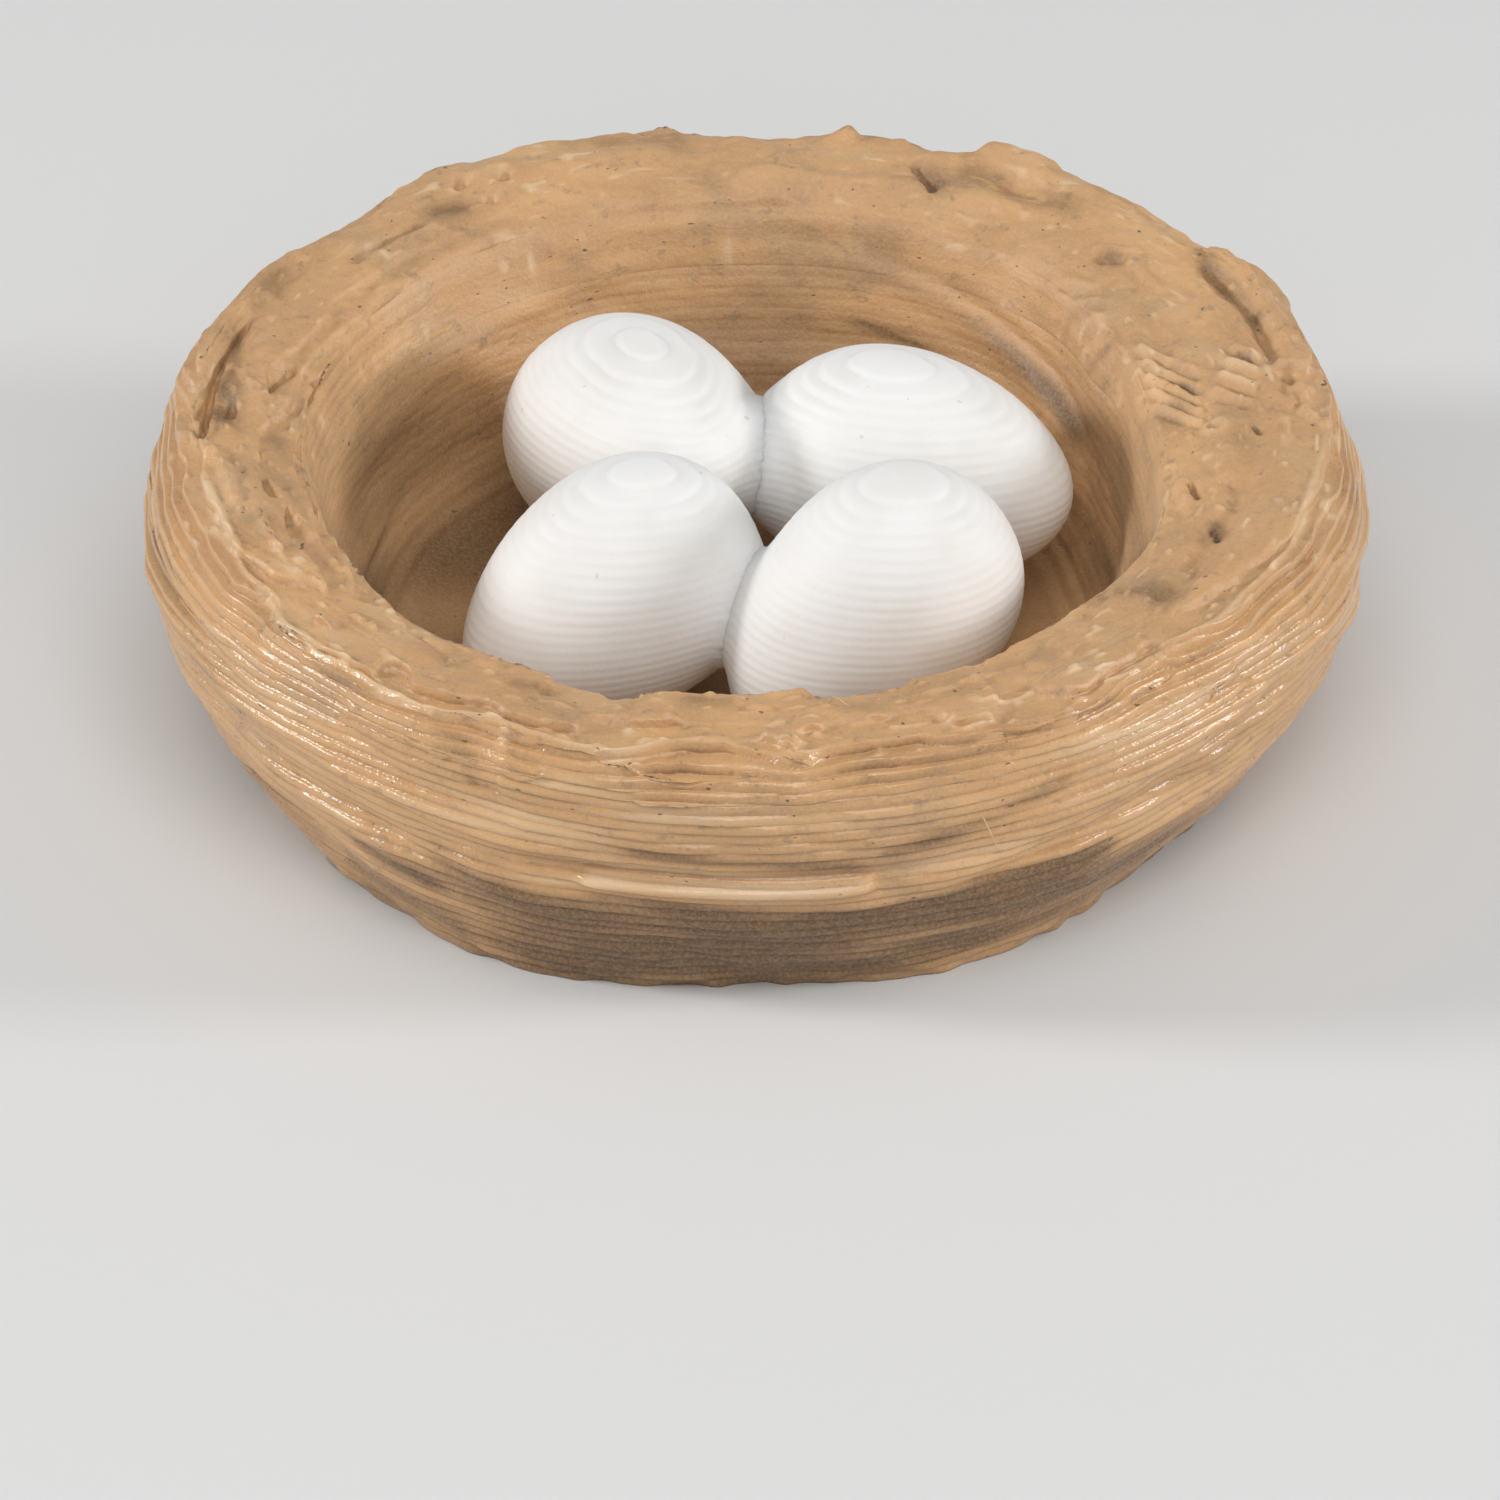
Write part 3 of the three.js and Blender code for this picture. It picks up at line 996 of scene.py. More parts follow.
    cup_streaks: tuple[Band, ...] = (
        Band((25, 3.0), (95, 5.0), 0.16, -0.5),
        Band((40, 2.4), (80, 3.6), 0.12, -0.4),
        Band((330, 1.6), (20, 2.8), 0.15, -0.3),
    )
    wall_ripples: tuple[Ripple, ...] = (
        Ripple(3, 34, 1.1, 0.07),
        Ripple(4, 78, 0.45, 0.045),
    )
    rim_ripples: tuple[Ripple, ...] = (
        Ripple(31, 58, 0.7, 0.085),
        Ripple(32, 150, 0.3, 0.035),
    )
    rim_grain: tuple[Ripple, ...] = (
        Ripple(33, 420, 0.12, 0.016),
        Ripple(34, 210, 0.22, 0.02),
    )
    finish: WoodFilament = WoodFilament()

    def angles(self) -> np.ndarray:
        """Angle of every column, in degrees."""
        return np.arange(self.columns) * (360.0 / self.columns)

    def wall_radius(self, angle: np.ndarray, height: np.ndarray) -> np.ndarray:
        """Radius of the outer wall without its layers.

        Args:
            angle: Angles in degrees.
            height: Heights in mm.

        Returns:
            The radius at every place.
        """
        foot = around(self.foot, angle)
        bulge = around(self.bulge, angle)
        low = foot + (bulge - foot) * along(self.wall_curve, height / self.bulge_height)
        top = around(self.rim_height, angle)
        rise = np.clip((height - self.bulge_height) / (top - self.bulge_height), 0, 1)
        inward = along(self.shoulder_curve, rise)
        high = bulge + (around(self.rim_outer, angle) - bulge) * inward
        radius = np.where(height <= self.bulge_height, low, high)
        for strand in (*self.strands, *self.ledges):
            radius = radius + strand.at(angle, height)
        for ripple in self.wall_ripples:
            radius += ripple.at(angle + 9.0 * height, height)
        return radius

    def cup_radius(self, angle: np.ndarray, height: np.ndarray) -> np.ndarray:
        """Radius of the cup's side without its layers.

        Args:
            angle: Angles in degrees.
            height: Heights in mm, above the floor.

        Returns:
            The radius at every place.
        """
        top = around(self.mouth_height, angle)
        rise = np.clip((height - self.floor_height) / (top - self.floor_height), 0, 1)
        radius = around(self.mouth, angle) * along(self.cup_curve, rise)
        middle = np.sin(np.pi * rise) ** 0.5
        for strand in self.cup_strands:
            radius = radius - strand.at(angle, height) * middle
        for nick in self.nicks:
            radius = radius + nick.at(angle, height)
        radius -= Ripple(5, 30, 1.0, 0.07).at(angle - 10.0 * height, height) * middle
        radius -= Ripple(6, 80, 0.4, 0.012).at(angle - 14.0 * height, height) * middle
        return radius

    @staticmethod
    def roughness(angle: np.ndarray) -> np.ndarray:
        """How uneven the rim's top is, 1 at the back and 0 at the front."""
        return 0.5 + 0.5 * np.sin(np.radians(angle))

    @staticmethod
    def layer_jitter(angle: np.ndarray, layer: np.ndarray) -> np.ndarray:
        """Unevenness of each layer's outline, with stretches that stand proud.

        Args:
            angle: Angles in degrees.
            layer: Number of the layer at every place.

        Returns:
            The shift of the radius in mm.
        """
        coarse = Ripple(11, 26, 1.0, 0.022, 0.25).at(angle + 31.0 * layer, layer * 7.0)
        fine = Ripple(12, 220, 1.0, 0.009).at(angle, layer * 5.0)
        return coarse + fine

    def wall_tone(self, angle: np.ndarray, height: np.ndarray) -> np.ndarray:
        """Darker and lighter bands of the wall, and painted shade towards its foot.

        Args:
            angle: Angles in degrees.
            height: Heights in mm.

        Returns:
            The tone at every place, darker below 0 and lighter above.
        """
        tone = Ripple(21, 16, 0.9, 0.3).at(angle + 12 * height, height)
        tone += Ripple(22, 40, 0.3, 0.2).at(angle, height)
        for band in self.tone_bands:
            tone += band.at(angle, height)
        # Towards the foot the wall is painted darker, most of all at the front: partly
        # the filament's greyer colour there, partly painted shade of the underside.
        front = np.exp(-(((angle - 272.0) / 50.0) ** 2))
        edge = 1.8 - 0.6 * (1.0 - front) + Ripple(25, 18, 0.6, 0.4).at(angle, height)
        low = 1.0 - ease((height - edge) / 0.75)
        layer = np.floor(height / LAYER - 0.05)
        tone += Ripple(26, 26, 1.0, 0.2).at(angle, 3.7 * layer)
        return tone + 0.1 * front - low * (0.3 + 0.6 * front)

    def wall_skin(self) -> Skin:
        """Underside and wall up to the seam, one bead per layer.

        Returns:
            The skin.
        """
        angle = self.angles()
        first = self.wall_radius(angle, np.full_like(angle, 0.09))
        radii = [first * 0.02, first * 0.6, first - 0.35]
        heights = [np.zeros_like(angle)] * 3
        for layer in range(self.seam_layer):
            middle = np.full_like(angle, (layer + 0.5) * LAYER)
            radius = self.wall_radius(angle, middle)
            radius += self.layer_jitter(angle, np.full_like(angle, float(layer)))
            if layer < 2:
                radius += Ripple(41 + layer, 150, 1.0, 0.06).at(angle, angle * 0)
            for share in BEAD_ROWS:
                back = self.bead_depth * bead_groove(np.array(share))
                radii.append(radius - back)
                heights.append(np.full_like(angle, (layer + share) * LAYER))
        heights[3] = np.zeros_like(angle)
        radius, height = np.vstack(radii), np.vstack(heights)
        wide = np.broadcast_to(angle, radius.shape)
        tone = self.wall_tone(wide, height)
        # The grooves between beads are painted darker: painted shade.
        groove = bead_groove(height / LAYER - np.floor(height / LAYER))
        shine = np.ones_like(radius)
        return Skin(radius, height, angle, tone + 0.08 - 0.3 * groove, shine)

    def rim_path(self, angle: np.ndarray, rows: int) -> tuple[np.ndarray, np.ndarray]:
        """Plain rim from seam to seam, rounded at its corners.

        Args:
            angle: Angle of every column.
            rows: Number of rows; the first half crosses the shoulder.

        Returns:
            Radius and height, one row per ring.
        """
        seam = self.seam_layer * LAYER
        top = around(self.rim_height, angle)
        low = around(self.mouth_height, angle)
        outer = around(self.rim_outer, angle)
        mouth = self.cup_radius(angle, low)
        radii, heights = [], []
        for share in np.linspace(0, 1, self.shoulder_rows)[:-1]:
            height = seam + (top - seam) * share
            radii.append(self.wall_radius(angle, height))
            heights.append(height)
        for share in np.linspace(0, 1, self.crown_rows):
            radii.append(outer + (mouth - outer) * share)
            crown = self.crown * math.sin(math.pi * share)
            heights.append(top + (low - top) * share**1.4 + crown)
        for share in np.linspace(0, 1, self.mouth_rows)[1:]:
            height = low + (seam - low) * share
            radii.append(self.cup_radius(angle, height))
            heights.append(height)
        radius, height = np.vstack(radii), np.vstack(heights)
        even = np.linspace(0, 1, self.even_rows)
        radius, height = self.spaced(radius, height, even)
        soft = ease((even - 0.45) / 0.2)[:, None]
        inner = around(self.rounding, angle)[None, :]
        sharp, middling, wide = (
            self.rounded(radius, height, reach) for reach in self.corners
        )
        share = np.clip((inner - 0.05) / 0.25, 0, 1)
        grids = []
        for near, far, edge in zip(sharp, wide, middling):
            inside = near + (far - near) * share
            grids.append(edge + (inside - edge) * soft)
        half = rows // 2
        dense = np.linspace(0, 0.34, half)
        rest = np.linspace(0.34, 1.0, rows - half + 1)[1:]
        return self.spaced(grids[0], grids[1], np.concatenate([dense, rest]))

    @staticmethod
    def spaced(
        radius: np.ndarray, height: np.ndarray, places: np.ndarray
    ) -> tuple[np.ndarray, np.ndarray]:
        """Rows moved to given shares of each column's length.

        Args:
            radius: Radius of every point.
            height: Height of every point.
            places: Shares of the length, one for each new row.

        Returns:
            Radius and height, one row per place.
        """
        step = np.hypot(np.diff(radius, axis=0), np.diff(height, axis=0))
        run = np.vstack([np.zeros(radius.shape[1]), np.cumsum(step, axis=0)])
        run /= run[-1]
        radius_out = np.empty((len(places), radius.shape[1]))
        height_out = np.empty_like(radius_out)
        for column in range(radius.shape[1]):
            radius_out[:, column] = np.interp(places, run[:, column], radius[:, column])
            height_out[:, column] = np.interp(places, run[:, column], height[:, column])
        return radius_out, height_out

    @staticmethod
    def rounded(
        radius: np.ndarray, height: np.ndarray, reach: float
    ) -> tuple[np.ndarray, np.ndarray]:
        """Rows averaged with their neighbours.

        Args:
            radius: Radius of every point.
            height: Height of every point.
            reach: How far the averaging reaches, in mm.

        Returns:
            Radius and height, as many rows as before.
        """
        count = len(radius)
        length = np.hypot(np.diff(radius, axis=0), np.diff(height, axis=0)).sum(axis=0)
        spread = reach / (length.mean() / count)
        place = np.arange(count)
        wide = np.minimum(spread, np.minimum(place, place[::-1]) / 3.0 + 0.01)
        weight = np.exp(-0.5 * ((place[None, :] - place[:, None]) / wide[:, None]) ** 2)
        weight /= weight.sum(axis=1, keepdims=True)
        return weight @ radius, weight @ height

    def rib_relief(self, x: np.ndarray, y: np.ndarray) -> np.ndarray:
        """Short ribs and furrows in turn on the right of the rim, and a small ring.

        Args:
            x: First coordinates in mm.
            y: Second coordinates in mm.

        Returns:
            The rise in mm at every place.
        """
        rise = np.zeros_like(x)
        for step in range(10):
            index, ridge = step / 2, step % 2 == 0
            width, height = (0.09, 0.08) if ridge else (0.08, -0.06)
            start = (6.8 + 0.06 * index, 3.2 - 0.47 * index)
            end = (7.72, 2.0 - 0.38 * index)
            rise += Mark(start, end, width, height).at(x, y)
            if step < 8:
                start = (8.4 - 0.12 * index, 2.62 - 0.45 * index)
                end = (8.78 - 0.07 * index, 2.22 - 0.42 * index)
                rise += Mark(start, end, width, height).at(x, y)
            start = (5.4 + 0.09 * index, 5.75 - 0.5 * index)
            end = (6.0 + 0.06 * index, 5.2 - 0.44 * index)
            rise += Mark(start, end, 0.09, 0.6 * height).at(x, y)
        ring = np.abs(np.hypot(x - 7.98, y - 0.1) - 0.17)
        return rise + 0.08 * np.exp(-((ring / 0.07) ** 2))

    def rim_rise(
        self, angle: np.ndarray, radius: np.ndarray, flat: np.ndarray
    ) -> np.ndarray:
        """Unevenness, tracks and mounds that the layers then follow.

        Args:
            angle: Angle of every point, in degrees.
            radius: Radius of every point.
            flat: 1 where the rim lies level, 0 where it is steep.

        Returns:
            The rise in mm at every point.
        """
        coarse = 1.0 - 0.6 * flat * (1.0 - self.roughness(angle))
        rise = np.zeros_like(radius)
        for ripple in self.rim_ripples:
            rise += ripple.at(angle, radius) * coarse
        rise += Ripple(35, 44, 0.45, 0.1).at(angle, radius) * (1.0 - flat)
        for band in self.tracks:
            rise += band.at(angle, radius)
        turn = np.radians(angle)
        for mound in self.mounds:
            rise += mound.at(radius * np.cos(turn), radius * np.sin(turn))
        return rise

    def rim_skins(self, rows: int = 216) -> tuple[Skin, Skin]:
        """Shoulder and rim, stepped by the layers, sharing their middle row.

        Args:
            rows: Number of rows of the two together.

        Returns:
            The shoulder's skin and the rim's.
        """
        angle = self.angles()
        radius, height = self.rim_path(angle, rows)
        wide = np.broadcast_to(angle, radius.shape)
        turn = np.radians(wide)
        x, y = radius * np.cos(turn), radius * np.sin(turn)
        flat = 1.0 - ease((slope_of(radius, height, angle) - 0.5) / 0.9)
        order = np.arange(rows)
        ends = ease(np.minimum(order / 10.0, order[::-1] / 8.0))[:, None]
        outside = (order < rows * 0.6)[:, None]
        weight = np.where(outside, ease(flat * 1.4 + 0.55), ease(flat * 1.6))
        height = height + self.rim_rise(wide, radius, flat) * weight * ends
        slope = slope_of(radius, height, angle)
        layer = np.floor(height / LAYER)
        side = np.where(outside, 1.0, -1.0)
        depth = np.where(outside, self.bead_depth, self.cup_bead_depth)
        shift, stepped = printed(height, slope, depth)
        crease_shade = shaded_corners(height, slope)
        steep = ease((slope - 1.0) / 2.0)
        inward = ease((order / rows - 0.3) / 0.25)[:, None]
        crisp = 1.0 - inward * (1.0 - around(self.crispness, angle)[None, :])
        crisp = crisp * np.where(outside, 1.0, around(self.inner_crispness, angle))
        jitter = self.layer_jitter(wide, layer) * steep * ends
        shift = shift * crisp + side * jitter * np.where(outside, 1.0, 0.12)
        height = height + (stepped - height) * ends * crisp
        radius = radius + side * shift
        ribs = self.rib_relief(x, y)
        relief = ribs.copy()
        for ripple in self.rim_grain:
            relief += ripple.at(wide, radius)
        for mark in self.rim_marks:
            relief += mark.at(x, y)
        flecks_and_glints = np.maximum(Ripple(36, 190, 0.12, 1.0).at(wide, radius) - 0.5, 0)
        relief += 0.14 * flecks_and_glints * (1.0 - self.roughness(wide))
        off = (radius - around(self.rim_outer, angle)[None, :] + 0.04) / 0.07
        edge = np.exp(-off * off) * around(self.edge_bead, angle)[None, :]
        height = height + (relief * flat + 0.07 * edge * (0.3 + 0.7 * flat)) * ends
        # The edge bead is painted lighter: a painted highlight along its crest.
        tone = Ripple(23, 60, 0.6, 0.3).at(wide, radius) + 0.5 * edge
        # The raised flecks are painted lighter as painted glints; the ribs and the
        # small ring are painted lighter and the furrows between the ribs darker, as
        # painted light and shade.
        tone += 1.2 * flecks_and_glints + 6.0 * ribs
        # Patches of painted shade over pits and grooves, one painted glint, and other
        # darker patches.
        for patch in self.patches_shade_and_glint:
            tone += patch.at(x, y)
        share = ease((order / rows - 0.05) / 0.25)[:, None]
        tone = self.wall_tone(wide, height) * (1 - share) + tone * share
        # Painted shade in the inner corners of treads and the grooves between beads,
        # the rest a little lighter.
        tone += (0.1 - 0.45 * crease_shade) * crisp
        shine = crisp * (1.0 - 0.6 * flat * inward)
        half = rows // 2
        shoulder, rim = (
            Skin(radius[part], height[part], angle, tone[part], shine[part])
            for part in (slice(None, half + 1), slice(half, None))
        )
        return shoulder, rim

    def cup_skin(self) -> Skin:
        """Cup below the seam: beads down its side, then the floor.

        Returns:
            The skin.
        """
        angle = self.angles()
        radii, heights = [], []
        lowest = self.lowest_cup_layer
        for layer in range(self.seam_layer - 1, lowest - 1, -1):
            uneven = 0.12 * self.layer_jitter(angle, np.full_like(angle, layer + 40.0))
            for share in BEAD_ROWS[::-1]:
                back = self.cup_bead_depth * bead_groove(np.array(share))
                height = np.full_like(angle, (layer + share) * LAYER)
                radii.append(self.cup_radius(angle, height) - uneven + back)
                heights.append(height)
        top = around(self.mouth_height, angle)
        start = (lowest * LAYER - self.floor_height) / (top - self.floor_height)
        for share in np.linspace(0, 1, self.floor_edge_rows)[1:]:
            rise = start * (1 - share) ** 2
            height = self.floor_height + (top - self.floor_height) * rise
            radius = around(self.mouth, angle) * along(self.cup_curve, rise)
            layer = np.floor(height / LAYER)
            part = height / LAYER - layer
            stepped = (layer + ease((part - 0.5) / 0.3 + 0.5)) * LAYER
            floor = self.floor_height + 0.002
            radii.append(radius)
            heights.append(np.maximum(stepped * 0.3 + height * 0.7, floor))
        edge = radii[-1]
        for share in np.linspace(1, 0.02, self.floor_rows)[1:]:
            radii.append(edge * share)
            heights.append(np.full_like(angle, self.floor_height))
        radius, height = np.vstack(radii), np.vstack(heights)
        wide = np.broadcast_to(angle, radius.shape)
        tone = Ripple(24, 14, 0.8, 0.3).at(wide - 14 * height, height + radius * 0.3)
        for streak in self.cup_streaks:
            tone += streak.at(wide, height)
        # The cup is painted darker towards its floor and on its left and right sides,
        # most on the left: painted shade.
        depth_shade = 1.0 - np.clip((height - self.floor_height) / 2.6, 0, 1)
        across = np.cos(np.radians(wide))
        tone = tone - 0.4 * depth_shade - 0.12 * np.abs(across) - 0.14 * np.maximum(-across, 0)
        return Skin(radius, height, angle, tone, np.full_like(radius, 0.15))

    def build(self) -> list[bpy.types.Object]:
        """Builds, dresses and places the four skins.

        Returns:
            The four pieces.
        """
        wall, cup = self.wall_skin(), self.cup_skin()
        shoulder, rim = self.rim_skins()
        shoulder.radius[0], shoulder.height[0] = wall.radius[-1], wall.height[-1]
        rim.radius[-1], rim.height[-1] = cup.radius[0], cup.height[0]
        material = self.finish.material()
        pieces = [
            wall.mesh("nest_wall"),
            shoulder.mesh("nest_shoulder"),
            rim.mesh("nest_rim"),
            cup.mesh("nest_cup", pole=True),
        ]
        for piece in pieces:
            piece.data.materials.append(material)
            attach(piece, "root")
            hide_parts("nest")
        return pieces


@dataclass(frozen=True)
class Wisp:
    """A hair of plastic left by the nozzle: points in mm and a thickness."""

    name: str
    points: tuple[Triple, ...]
    thickness: float = 0.03
    rows: int = 12
    sides: int = 8

    def build(self, material: bpy.types.Material) -> bpy.types.Object:
        """Builds the hair as a thin tapered tube.

        Args:
            material: The nest's finish.

        Returns:
            The new object, in metres.
        """
        knots = np.array(self.points)
        places = np.linspace(0, len(knots) - 1, self.rows)
        order = np.arange(len(knots))
        spine = np.stack([np.interp(places, order, knots[:, k]) for k in range(3)], -1)
        run = np.gradient(spine, axis=0)
        run /= np.linalg.norm(run, axis=1, keepdims=True)
        side = np.cross(run, [0.0, 0.0, 1.0]) + [1e-6, 0.0, 0.0]
        side /= np.linalg.norm(side, axis=1, keepdims=True)
        lift = np.cross(side, run)
        turn = np.linspace(0, 2 * np.pi, self.sides, endpoint=False)
        thick = self.thickness / 2 * np.linspace(1.0, 0.5, len(spine))
        ring = np.cos(turn)[None, :, None] * side[:, None]
        ring = ring + np.sin(turn)[None, :, None] * lift[:, None]
        points = spine[:, None] + ring * thick[:, None, None]
        corners = points.reshape(-1, 3) + np.array([*PLAN_SHIFT, 0.0])
        faces = rings_to_faces(self.rows, self.sides)
        faces.append(list(range(self.sides)))
        faces.append(list(range(len(corners) - self.sides, len(corners))))
        piece = shell(
            self.name,
            corners * MM,
            faces,
            np.full(len(corners), 0.3),
            np.ones(len(corners)),
        )
        piece.data.materials.append(material)
        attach(piece, "root")
        return piece


WISPS = (
    Wisp("wisp_mouth", ((1.28, -8.6, 5.2), (1.4, -8.85, 5.5), (1.62, -9.15, 5.48))),
    Wisp("wisp_wall", ((3.85, -9.85, 3.75), (4.0, -9.95, 3.45), (4.12, -9.9, 3.1))),
    Wisp("wisp_shoulder", ((7.75, -6.9, 4.5), (7.9, -7.02, 4.35), (7.98, -7.05, 4.2))),
)


# ---- the eggs --------------------------------------------------------------


@dataclass(frozen=True)
class EggPose:
    """Where an egg lies: centre in mm, heading and climb of its narrow end."""

    centre: Triple
    heading: float
    climb: float

    def axis(self) -> np.ndarray:
        """Direction of the narrow end.

        Returns:
            A direction of length 1.
        """
        heading, climb = math.radians(self.heading), math.radians(self.climb)
        level = math.cos(climb)
        return np.array(
            [level * math.cos(heading), level * math.sin(heading), math.sin(climb)]
        )


class EggPlace(Enum):
    """The eggs of the clutch, by the CAD node each one stands for."""

    BACK_LEFT = ("egg_back_left", EggPose((-1.97, 2.85, 3.68), 295, 17.5))
    BACK_RIGHT = ("egg_back_right", EggPose((2.88, 2.02, 3.5), 337, 0))
    FRONT_LEFT = ("egg_front_left", EggPose((-2.45, -2.17, 3.44), 214.5, -19))
    FRONT_RIGHT = ("egg_front_right", EggPose((2.02, -3.2, 3.75), 201.5, -39))


# Eggs whose sides ran together as they were printed, and how widely they did.
PAIRS = (
    (EggPlace.BACK_LEFT, EggPlace.BACK_RIGHT, 0.6),
    (EggPlace.FRONT_LEFT, EggPlace.FRONT_RIGHT, 0.27),
)


@dataclass
class PrintedEgg:
    """A white egg sliced into level layers that show faintly."""

    node: str
    pose: EggPose
    partner: EggPose
    blend: float
    length: float = 5.7
    width: float = 4.2
    taper: float = 0.18
    columns: int = 140
    rows: int = 200
    crispness: float = 0.34
    bead_depth: float = 0.016
    layer: float = 0.16
    lap: float = 0.12
    halvings: int = 24

    def girth(self, share: np.ndarray) -> np.ndarray:
        """Radius of the egg along its axis.

        Args:
            share: Places on the axis, -1 at the blunt end and 1 at the narrow one.

        Returns:
            The radius in mm at every place.
        """
        held = np.clip(share, -1, 1)
        widest = math.exp(self.taper * self.taper * 0.5)
        shape = np.sqrt(1 - held * held) * np.exp(-self.taper * held) / widest
        return shape * (self.width / 2)

    def away(self, point: np.ndarray) -> np.ndarray:
        """Rough distance from the skin, less than 0 inside the egg.

        Args:
            point: Points in mm, relative to the egg's centre.

        Returns:
            The distance of every point.
        """
        axis = self.pose.axis()
        lengthwise = point @ axis
        aside = np.linalg.norm(point - lengthwise[..., None] * axis, axis=-1)
        share = lengthwise / (self.length / 2)
        beyond = np.hypot(aside, np.abs(lengthwise) - self.length / 2)
        return np.where(np.abs(share) < 1, aside - self.girth(share), beyond)

    def joined(self, point: np.ndarray) -> np.ndarray:
        """Rough distance from the skin where it flows over to the partner's.

        Args:
            point: Points in mm, relative to the egg's centre.

        Returns:
            Less than 0 inside the egg and its half of the neck between the two.
            Past the half the skin tucks itself under the partner's.
        """
        own = self.away(point)
        offset = np.array(self.pose.centre) - np.array(self.partner.centre)
        twin = PrintedEgg(self.node, self.partner, self.pose, self.blend)
        other = twin.away(point + offset)
        near = np.exp(-own / self.blend) + np.exp(-other / self.blend)
        past = np.maximum(own - other, 0.0)
        turning = past * past / (4 * self.lap)
        tuck = np.where(past < 2 * self.lap, turning, past - self.lap)
        return tuck - self.blend * np.log(near)

    def poles(self) -> tuple[np.ndarray, np.ndarray]:
        """Lowest and highest point, relative to the centre.

        Returns:
            The two points in mm.
        """
        axis = self.pose.axis()
        side = np.cross(axis, [0.0, 0.0, 1.0])
        side = side / np.linalg.norm(side)
        lift = np.cross(side, axis)
        share = np.linspace(-1, 1, 2001)
        line = share[:, None] * axis * (self.length / 2)
        high = line + self.girth(share)[:, None] * lift
        low = line - self.girth(share)[:, None] * lift
        return low[np.argmin(low[:, 2])], high[np.argmax(high[:, 2])]

    def outline(self, middles: np.ndarray, ways: np.ndarray) -> np.ndarray:
        """Level distance from points inside the egg to its skin.

        Args:
            middles: Points in mm, relative to the centre.
            ways: Level directions of length 1.

        Returns:
            Distances in mm, one row per point and one column per direction.
        """
        near = np.zeros((len(middles), len(ways)))
        far = np.full_like(near, self.length)
        for _ in range(self.halvings):
            half = (near + far) / 2
            within = self.joined(middles[:, None] + half[..., None] * ways[None]) < 0
            near = np.where(within, half, near)
            far = np.where(within, far, half)
        return near

    def build(self, material: bpy.types.Material) -> bpy.types.Object:
        """Builds the egg from its layers and dresses it.

        Args:
            material: The eggs' shared finish.

        Returns:
            The new object, in metres.
        """
        low, high = self.poles()
        centre = np.array(self.pose.centre)
        share = (1 - np.cos(np.linspace(0.03, np.pi - 0.02, self.rows))) / 2
        middles = low + (high - low) * share[:, None]
        turn = np.linspace(0, 2 * np.pi, self.columns, endpoint=False)
        ways = np.stack([np.cos(turn), np.sin(turn), np.zeros_like(turn)], axis=-1)
        reach = self.outline(middles, ways)
        height = np.repeat(middles[:, 2:] + centre[2], self.columns, axis=1)
        fall = np.abs(np.gradient(height, axis=0))
        slope = np.minimum(fall / (np.abs(np.gradient(reach, axis=0)) + 1e-4), STEEPEST)
        upper = ease((share - 0.45) / 0.12)[:, None]
        uneven = Ripple(61, 12, 0.8, 0.015).at(np.degrees(turn)[None], height)
        sunk = height + uneven * ease((reach - 0.25) / 1.0)
        shift, stepped = printed(sunk, slope, self.bead_depth, 0.1, self.layer)
        strength = self.crispness * upper
        level = sunk / self.layer
        groove = -self.bead_depth * bead_groove(level - np.floor(level))
        reach = reach + groove + (shift - groove) * strength
        height = height + (stepped - sunk) * strength
        points = middles[:, None] + centre + reach[..., None] * ways[None]
        points[..., 2] = height
        ends = np.stack([points[0].mean(axis=0), points[-1].mean(axis=0)])
        corners = np.vstack([points.reshape(-1, 3), ends])
        corners = (corners + np.array([*PLAN_SHIFT, 0.0])) * MM
        faces = rings_to_faces(self.rows, self.columns)
        size = self.rows * self.columns
        first = np.arange(self.columns)
        after = np.roll(first, -1)
        last = first + size - self.columns
        faces += [[int(b), int(a), size] for a, b in zip(first, after)]
        next_last = np.roll(last, -1)
        faces += [[int(a), int(b), size + 1] for a, b in zip(last, next_last)]
        even = np.zeros(len(corners))
        piece = shell(self.node + "_print", corners, faces, even, even)
        piece.data.materials.append(material)
        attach(piece, "root")
        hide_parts(self.node)
        return piece


# ---- the set ---------------------------------------------------------------


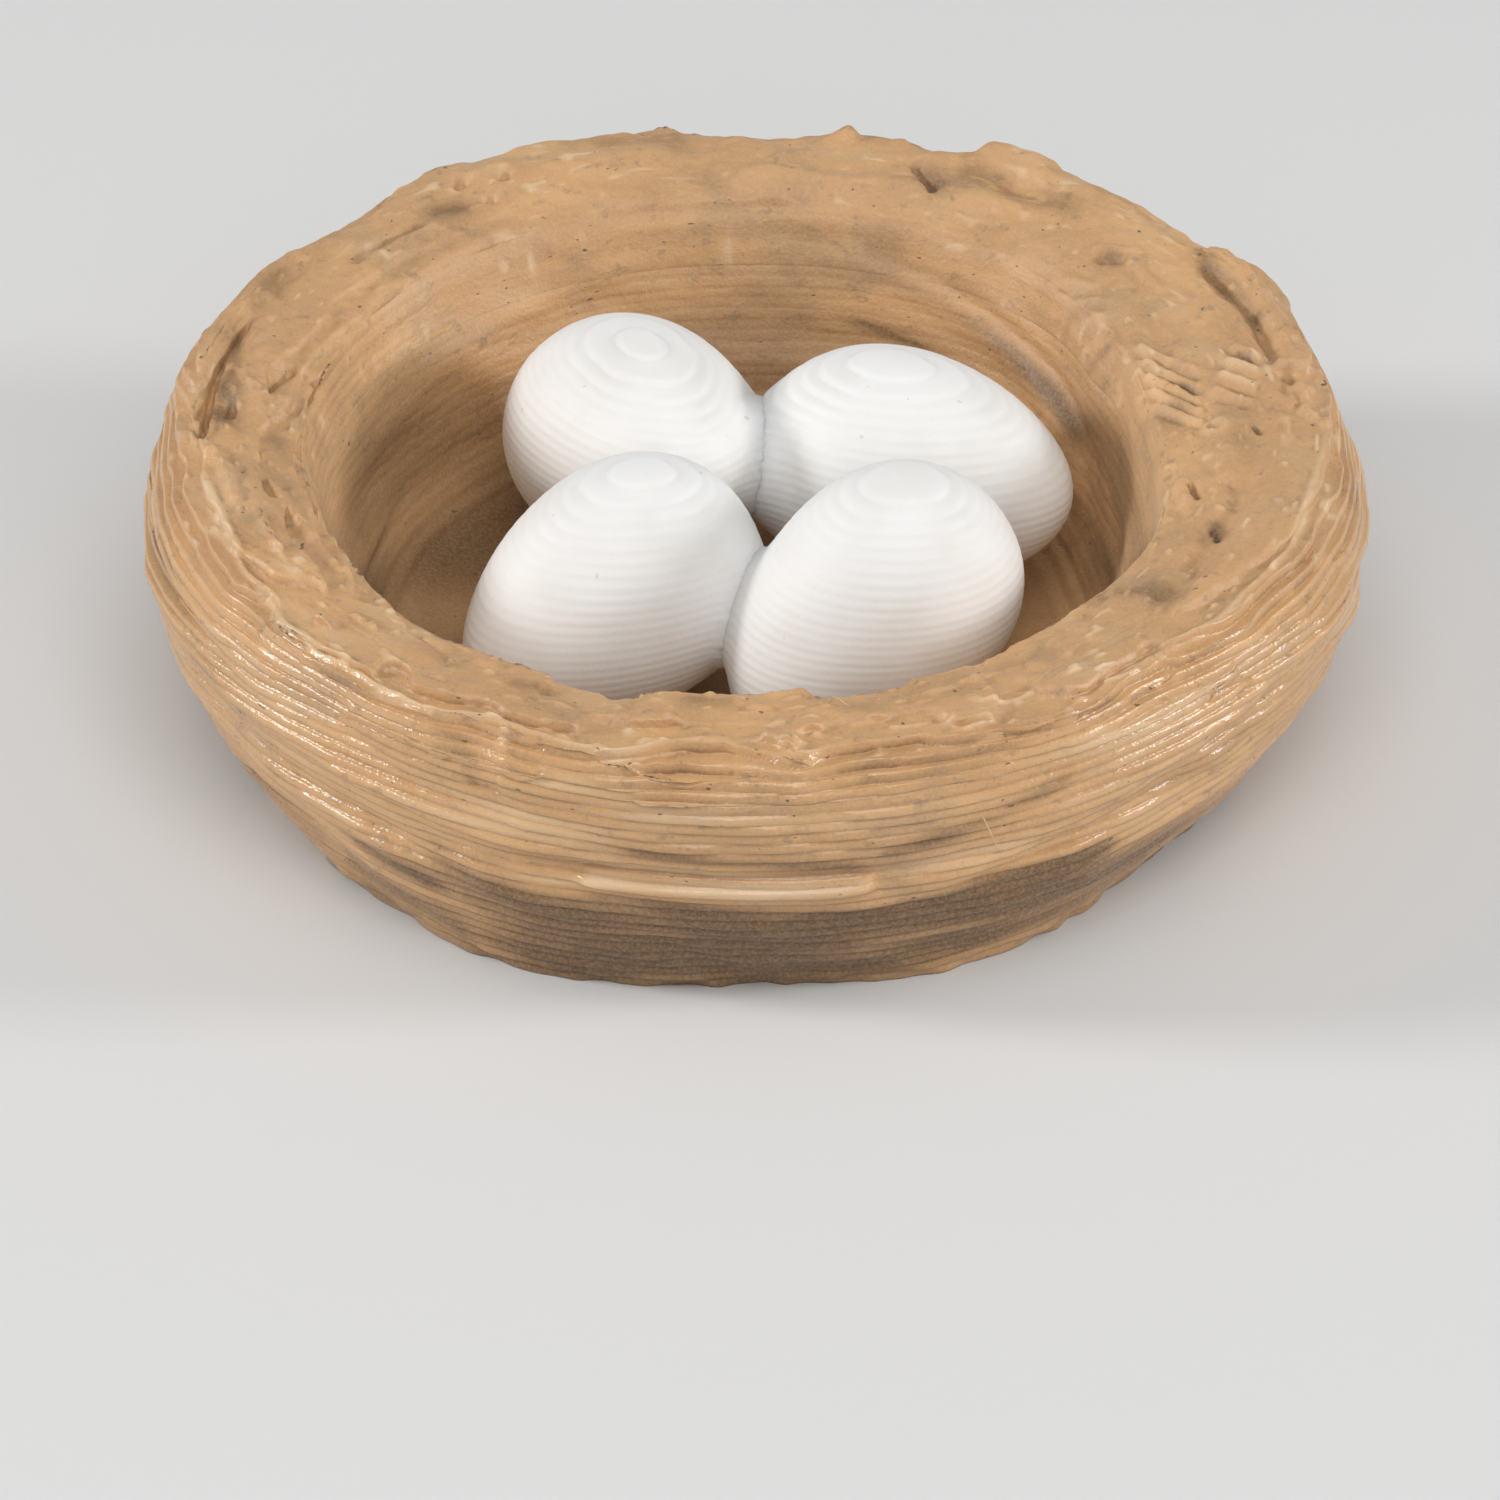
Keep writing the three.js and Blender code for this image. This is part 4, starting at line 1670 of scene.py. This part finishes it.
@dataclass
class StudioSet:
    """Pale board, soft lights and the camera. Distances are metres.

    base_place is where the middle of the nest's foot shows, in pixels.
    """

    elevation: float = 31.1
    distance: float = 0.23
    lens: float = 317.4
    pixels: float = 1500.0
    base_place: Place = (751.0, 704.0)
    board_half: float = 1.2
    aim: Triple = (0.0, 0.0, 0.003)

    def board(self) -> bpy.types.Object:
        """Lays the board.

        Returns:
            The board.
        """
        mesh = bpy.data.meshes.new("board")
        half = self.board_half
        corners = [
            (-half, -half, 0), (half, -half, 0), (half, half, 0), (-half, half, 0),
        ]
        mesh.from_pydata(corners, [], [(0, 1, 2, 3)])
        mesh.materials.append(PaleBoard().material())
        board = bpy.data.objects.new("board", mesh)
        bpy.context.scene.collection.objects.link(board)
        return board

    def lamp(
        self, name: str, place: Triple, size: float, watts: float
    ) -> None:
        """Hangs a square soft light that looks at the nest.

        Args:
            name: Name of the light.
            place: Where it hangs.
            size: Length of its side.
            watts: Its power.
        """
        light = bpy.data.lights.new(name, "AREA")
        light.size = size
        light.energy = watts
        lamp = bpy.data.objects.new(name, light)
        lamp.location = place
        aim = Vector(self.aim) - lamp.location
        lamp.rotation_euler = aim.to_track_quat("-Z", "Y").to_euler()
        bpy.context.scene.collection.objects.link(lamp)

    def lights(self) -> None:
        """Hangs the lights and sets the sky."""
        self.lamp("top_softbox", (0.02, -0.13, 0.29), 0.22, 0.27)
        self.lamp("front_softbox", (0.02, -0.26, 0.23), 0.24, 0.36)
        self.lamp("left_strip", (-0.28, 0.0, 0.12), 0.06, 0.46)
        self.lamp("right_strip", (0.28, -0.02, 0.1), 0.06, 0.38)
        world = bpy.data.worlds.new("room")
        world.use_nodes = True
        sky = world.node_tree.nodes["Background"]
        sky.inputs["Color"].default_value = (0.95, 0.97, 1.0, 1.0)
        sky.inputs["Strength"].default_value = 0.3
        bpy.context.scene.world = world

    def camera(self) -> None:
        """Sets the camera up in front of the nest."""
        data = bpy.data.cameras.new("camera")
        data.sensor_width = 36.0
        data.lens = self.lens
        data.clip_start = 0.005
        data.clip_end = 20.0
        middle = self.pixels / 2
        data.shift_x = (middle - self.base_place[0]) / self.pixels
        data.shift_y = (self.base_place[1] - middle) / self.pixels
        camera = bpy.data.objects.new("camera", data)
        climb = math.radians(self.elevation)
        foot = Vector((PLAN_SHIFT[0] * MM, PLAN_SHIFT[1] * MM, 0.0))
        back = Vector((0.0, -math.cos(climb), math.sin(climb)))
        camera.location = foot + back * self.distance
        camera.rotation_euler = (math.radians(90.0 - self.elevation), 0.0, 0.0)
        bpy.context.scene.collection.objects.link(camera)
        bpy.context.scene.camera = camera

    def build(self) -> None:
        """Builds the whole set."""
        self.camera()
        self.board()
        self.lights()
        view = bpy.context.scene.view_settings
        view.view_transform = "Standard"
        view.look = "None"


def main() -> None:
    """Loads the frame, builds every piece and notes the sizes."""
    logging.basicConfig(level=logging.INFO, format="%(name)s: %(message)s")
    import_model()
    StudioSet().build()
    pieces = NestBowl().build()
    pieces += [wisp.build(pieces[0].data.materials[0]) for wisp in WISPS]
    white = WhiteFilament().material()
    for left, right, blend in PAIRS:
        for own, other in ((left, right), (right, left)):
            node, pose = own.value
            egg = PrintedEgg(node, pose, other.value[1], blend)
            pieces.append(egg.build(white))
    for piece in pieces:
        log.info("%s: %d faces", piece.name, len(piece.data.polygons))


if __name__ == "__main__":
    main()
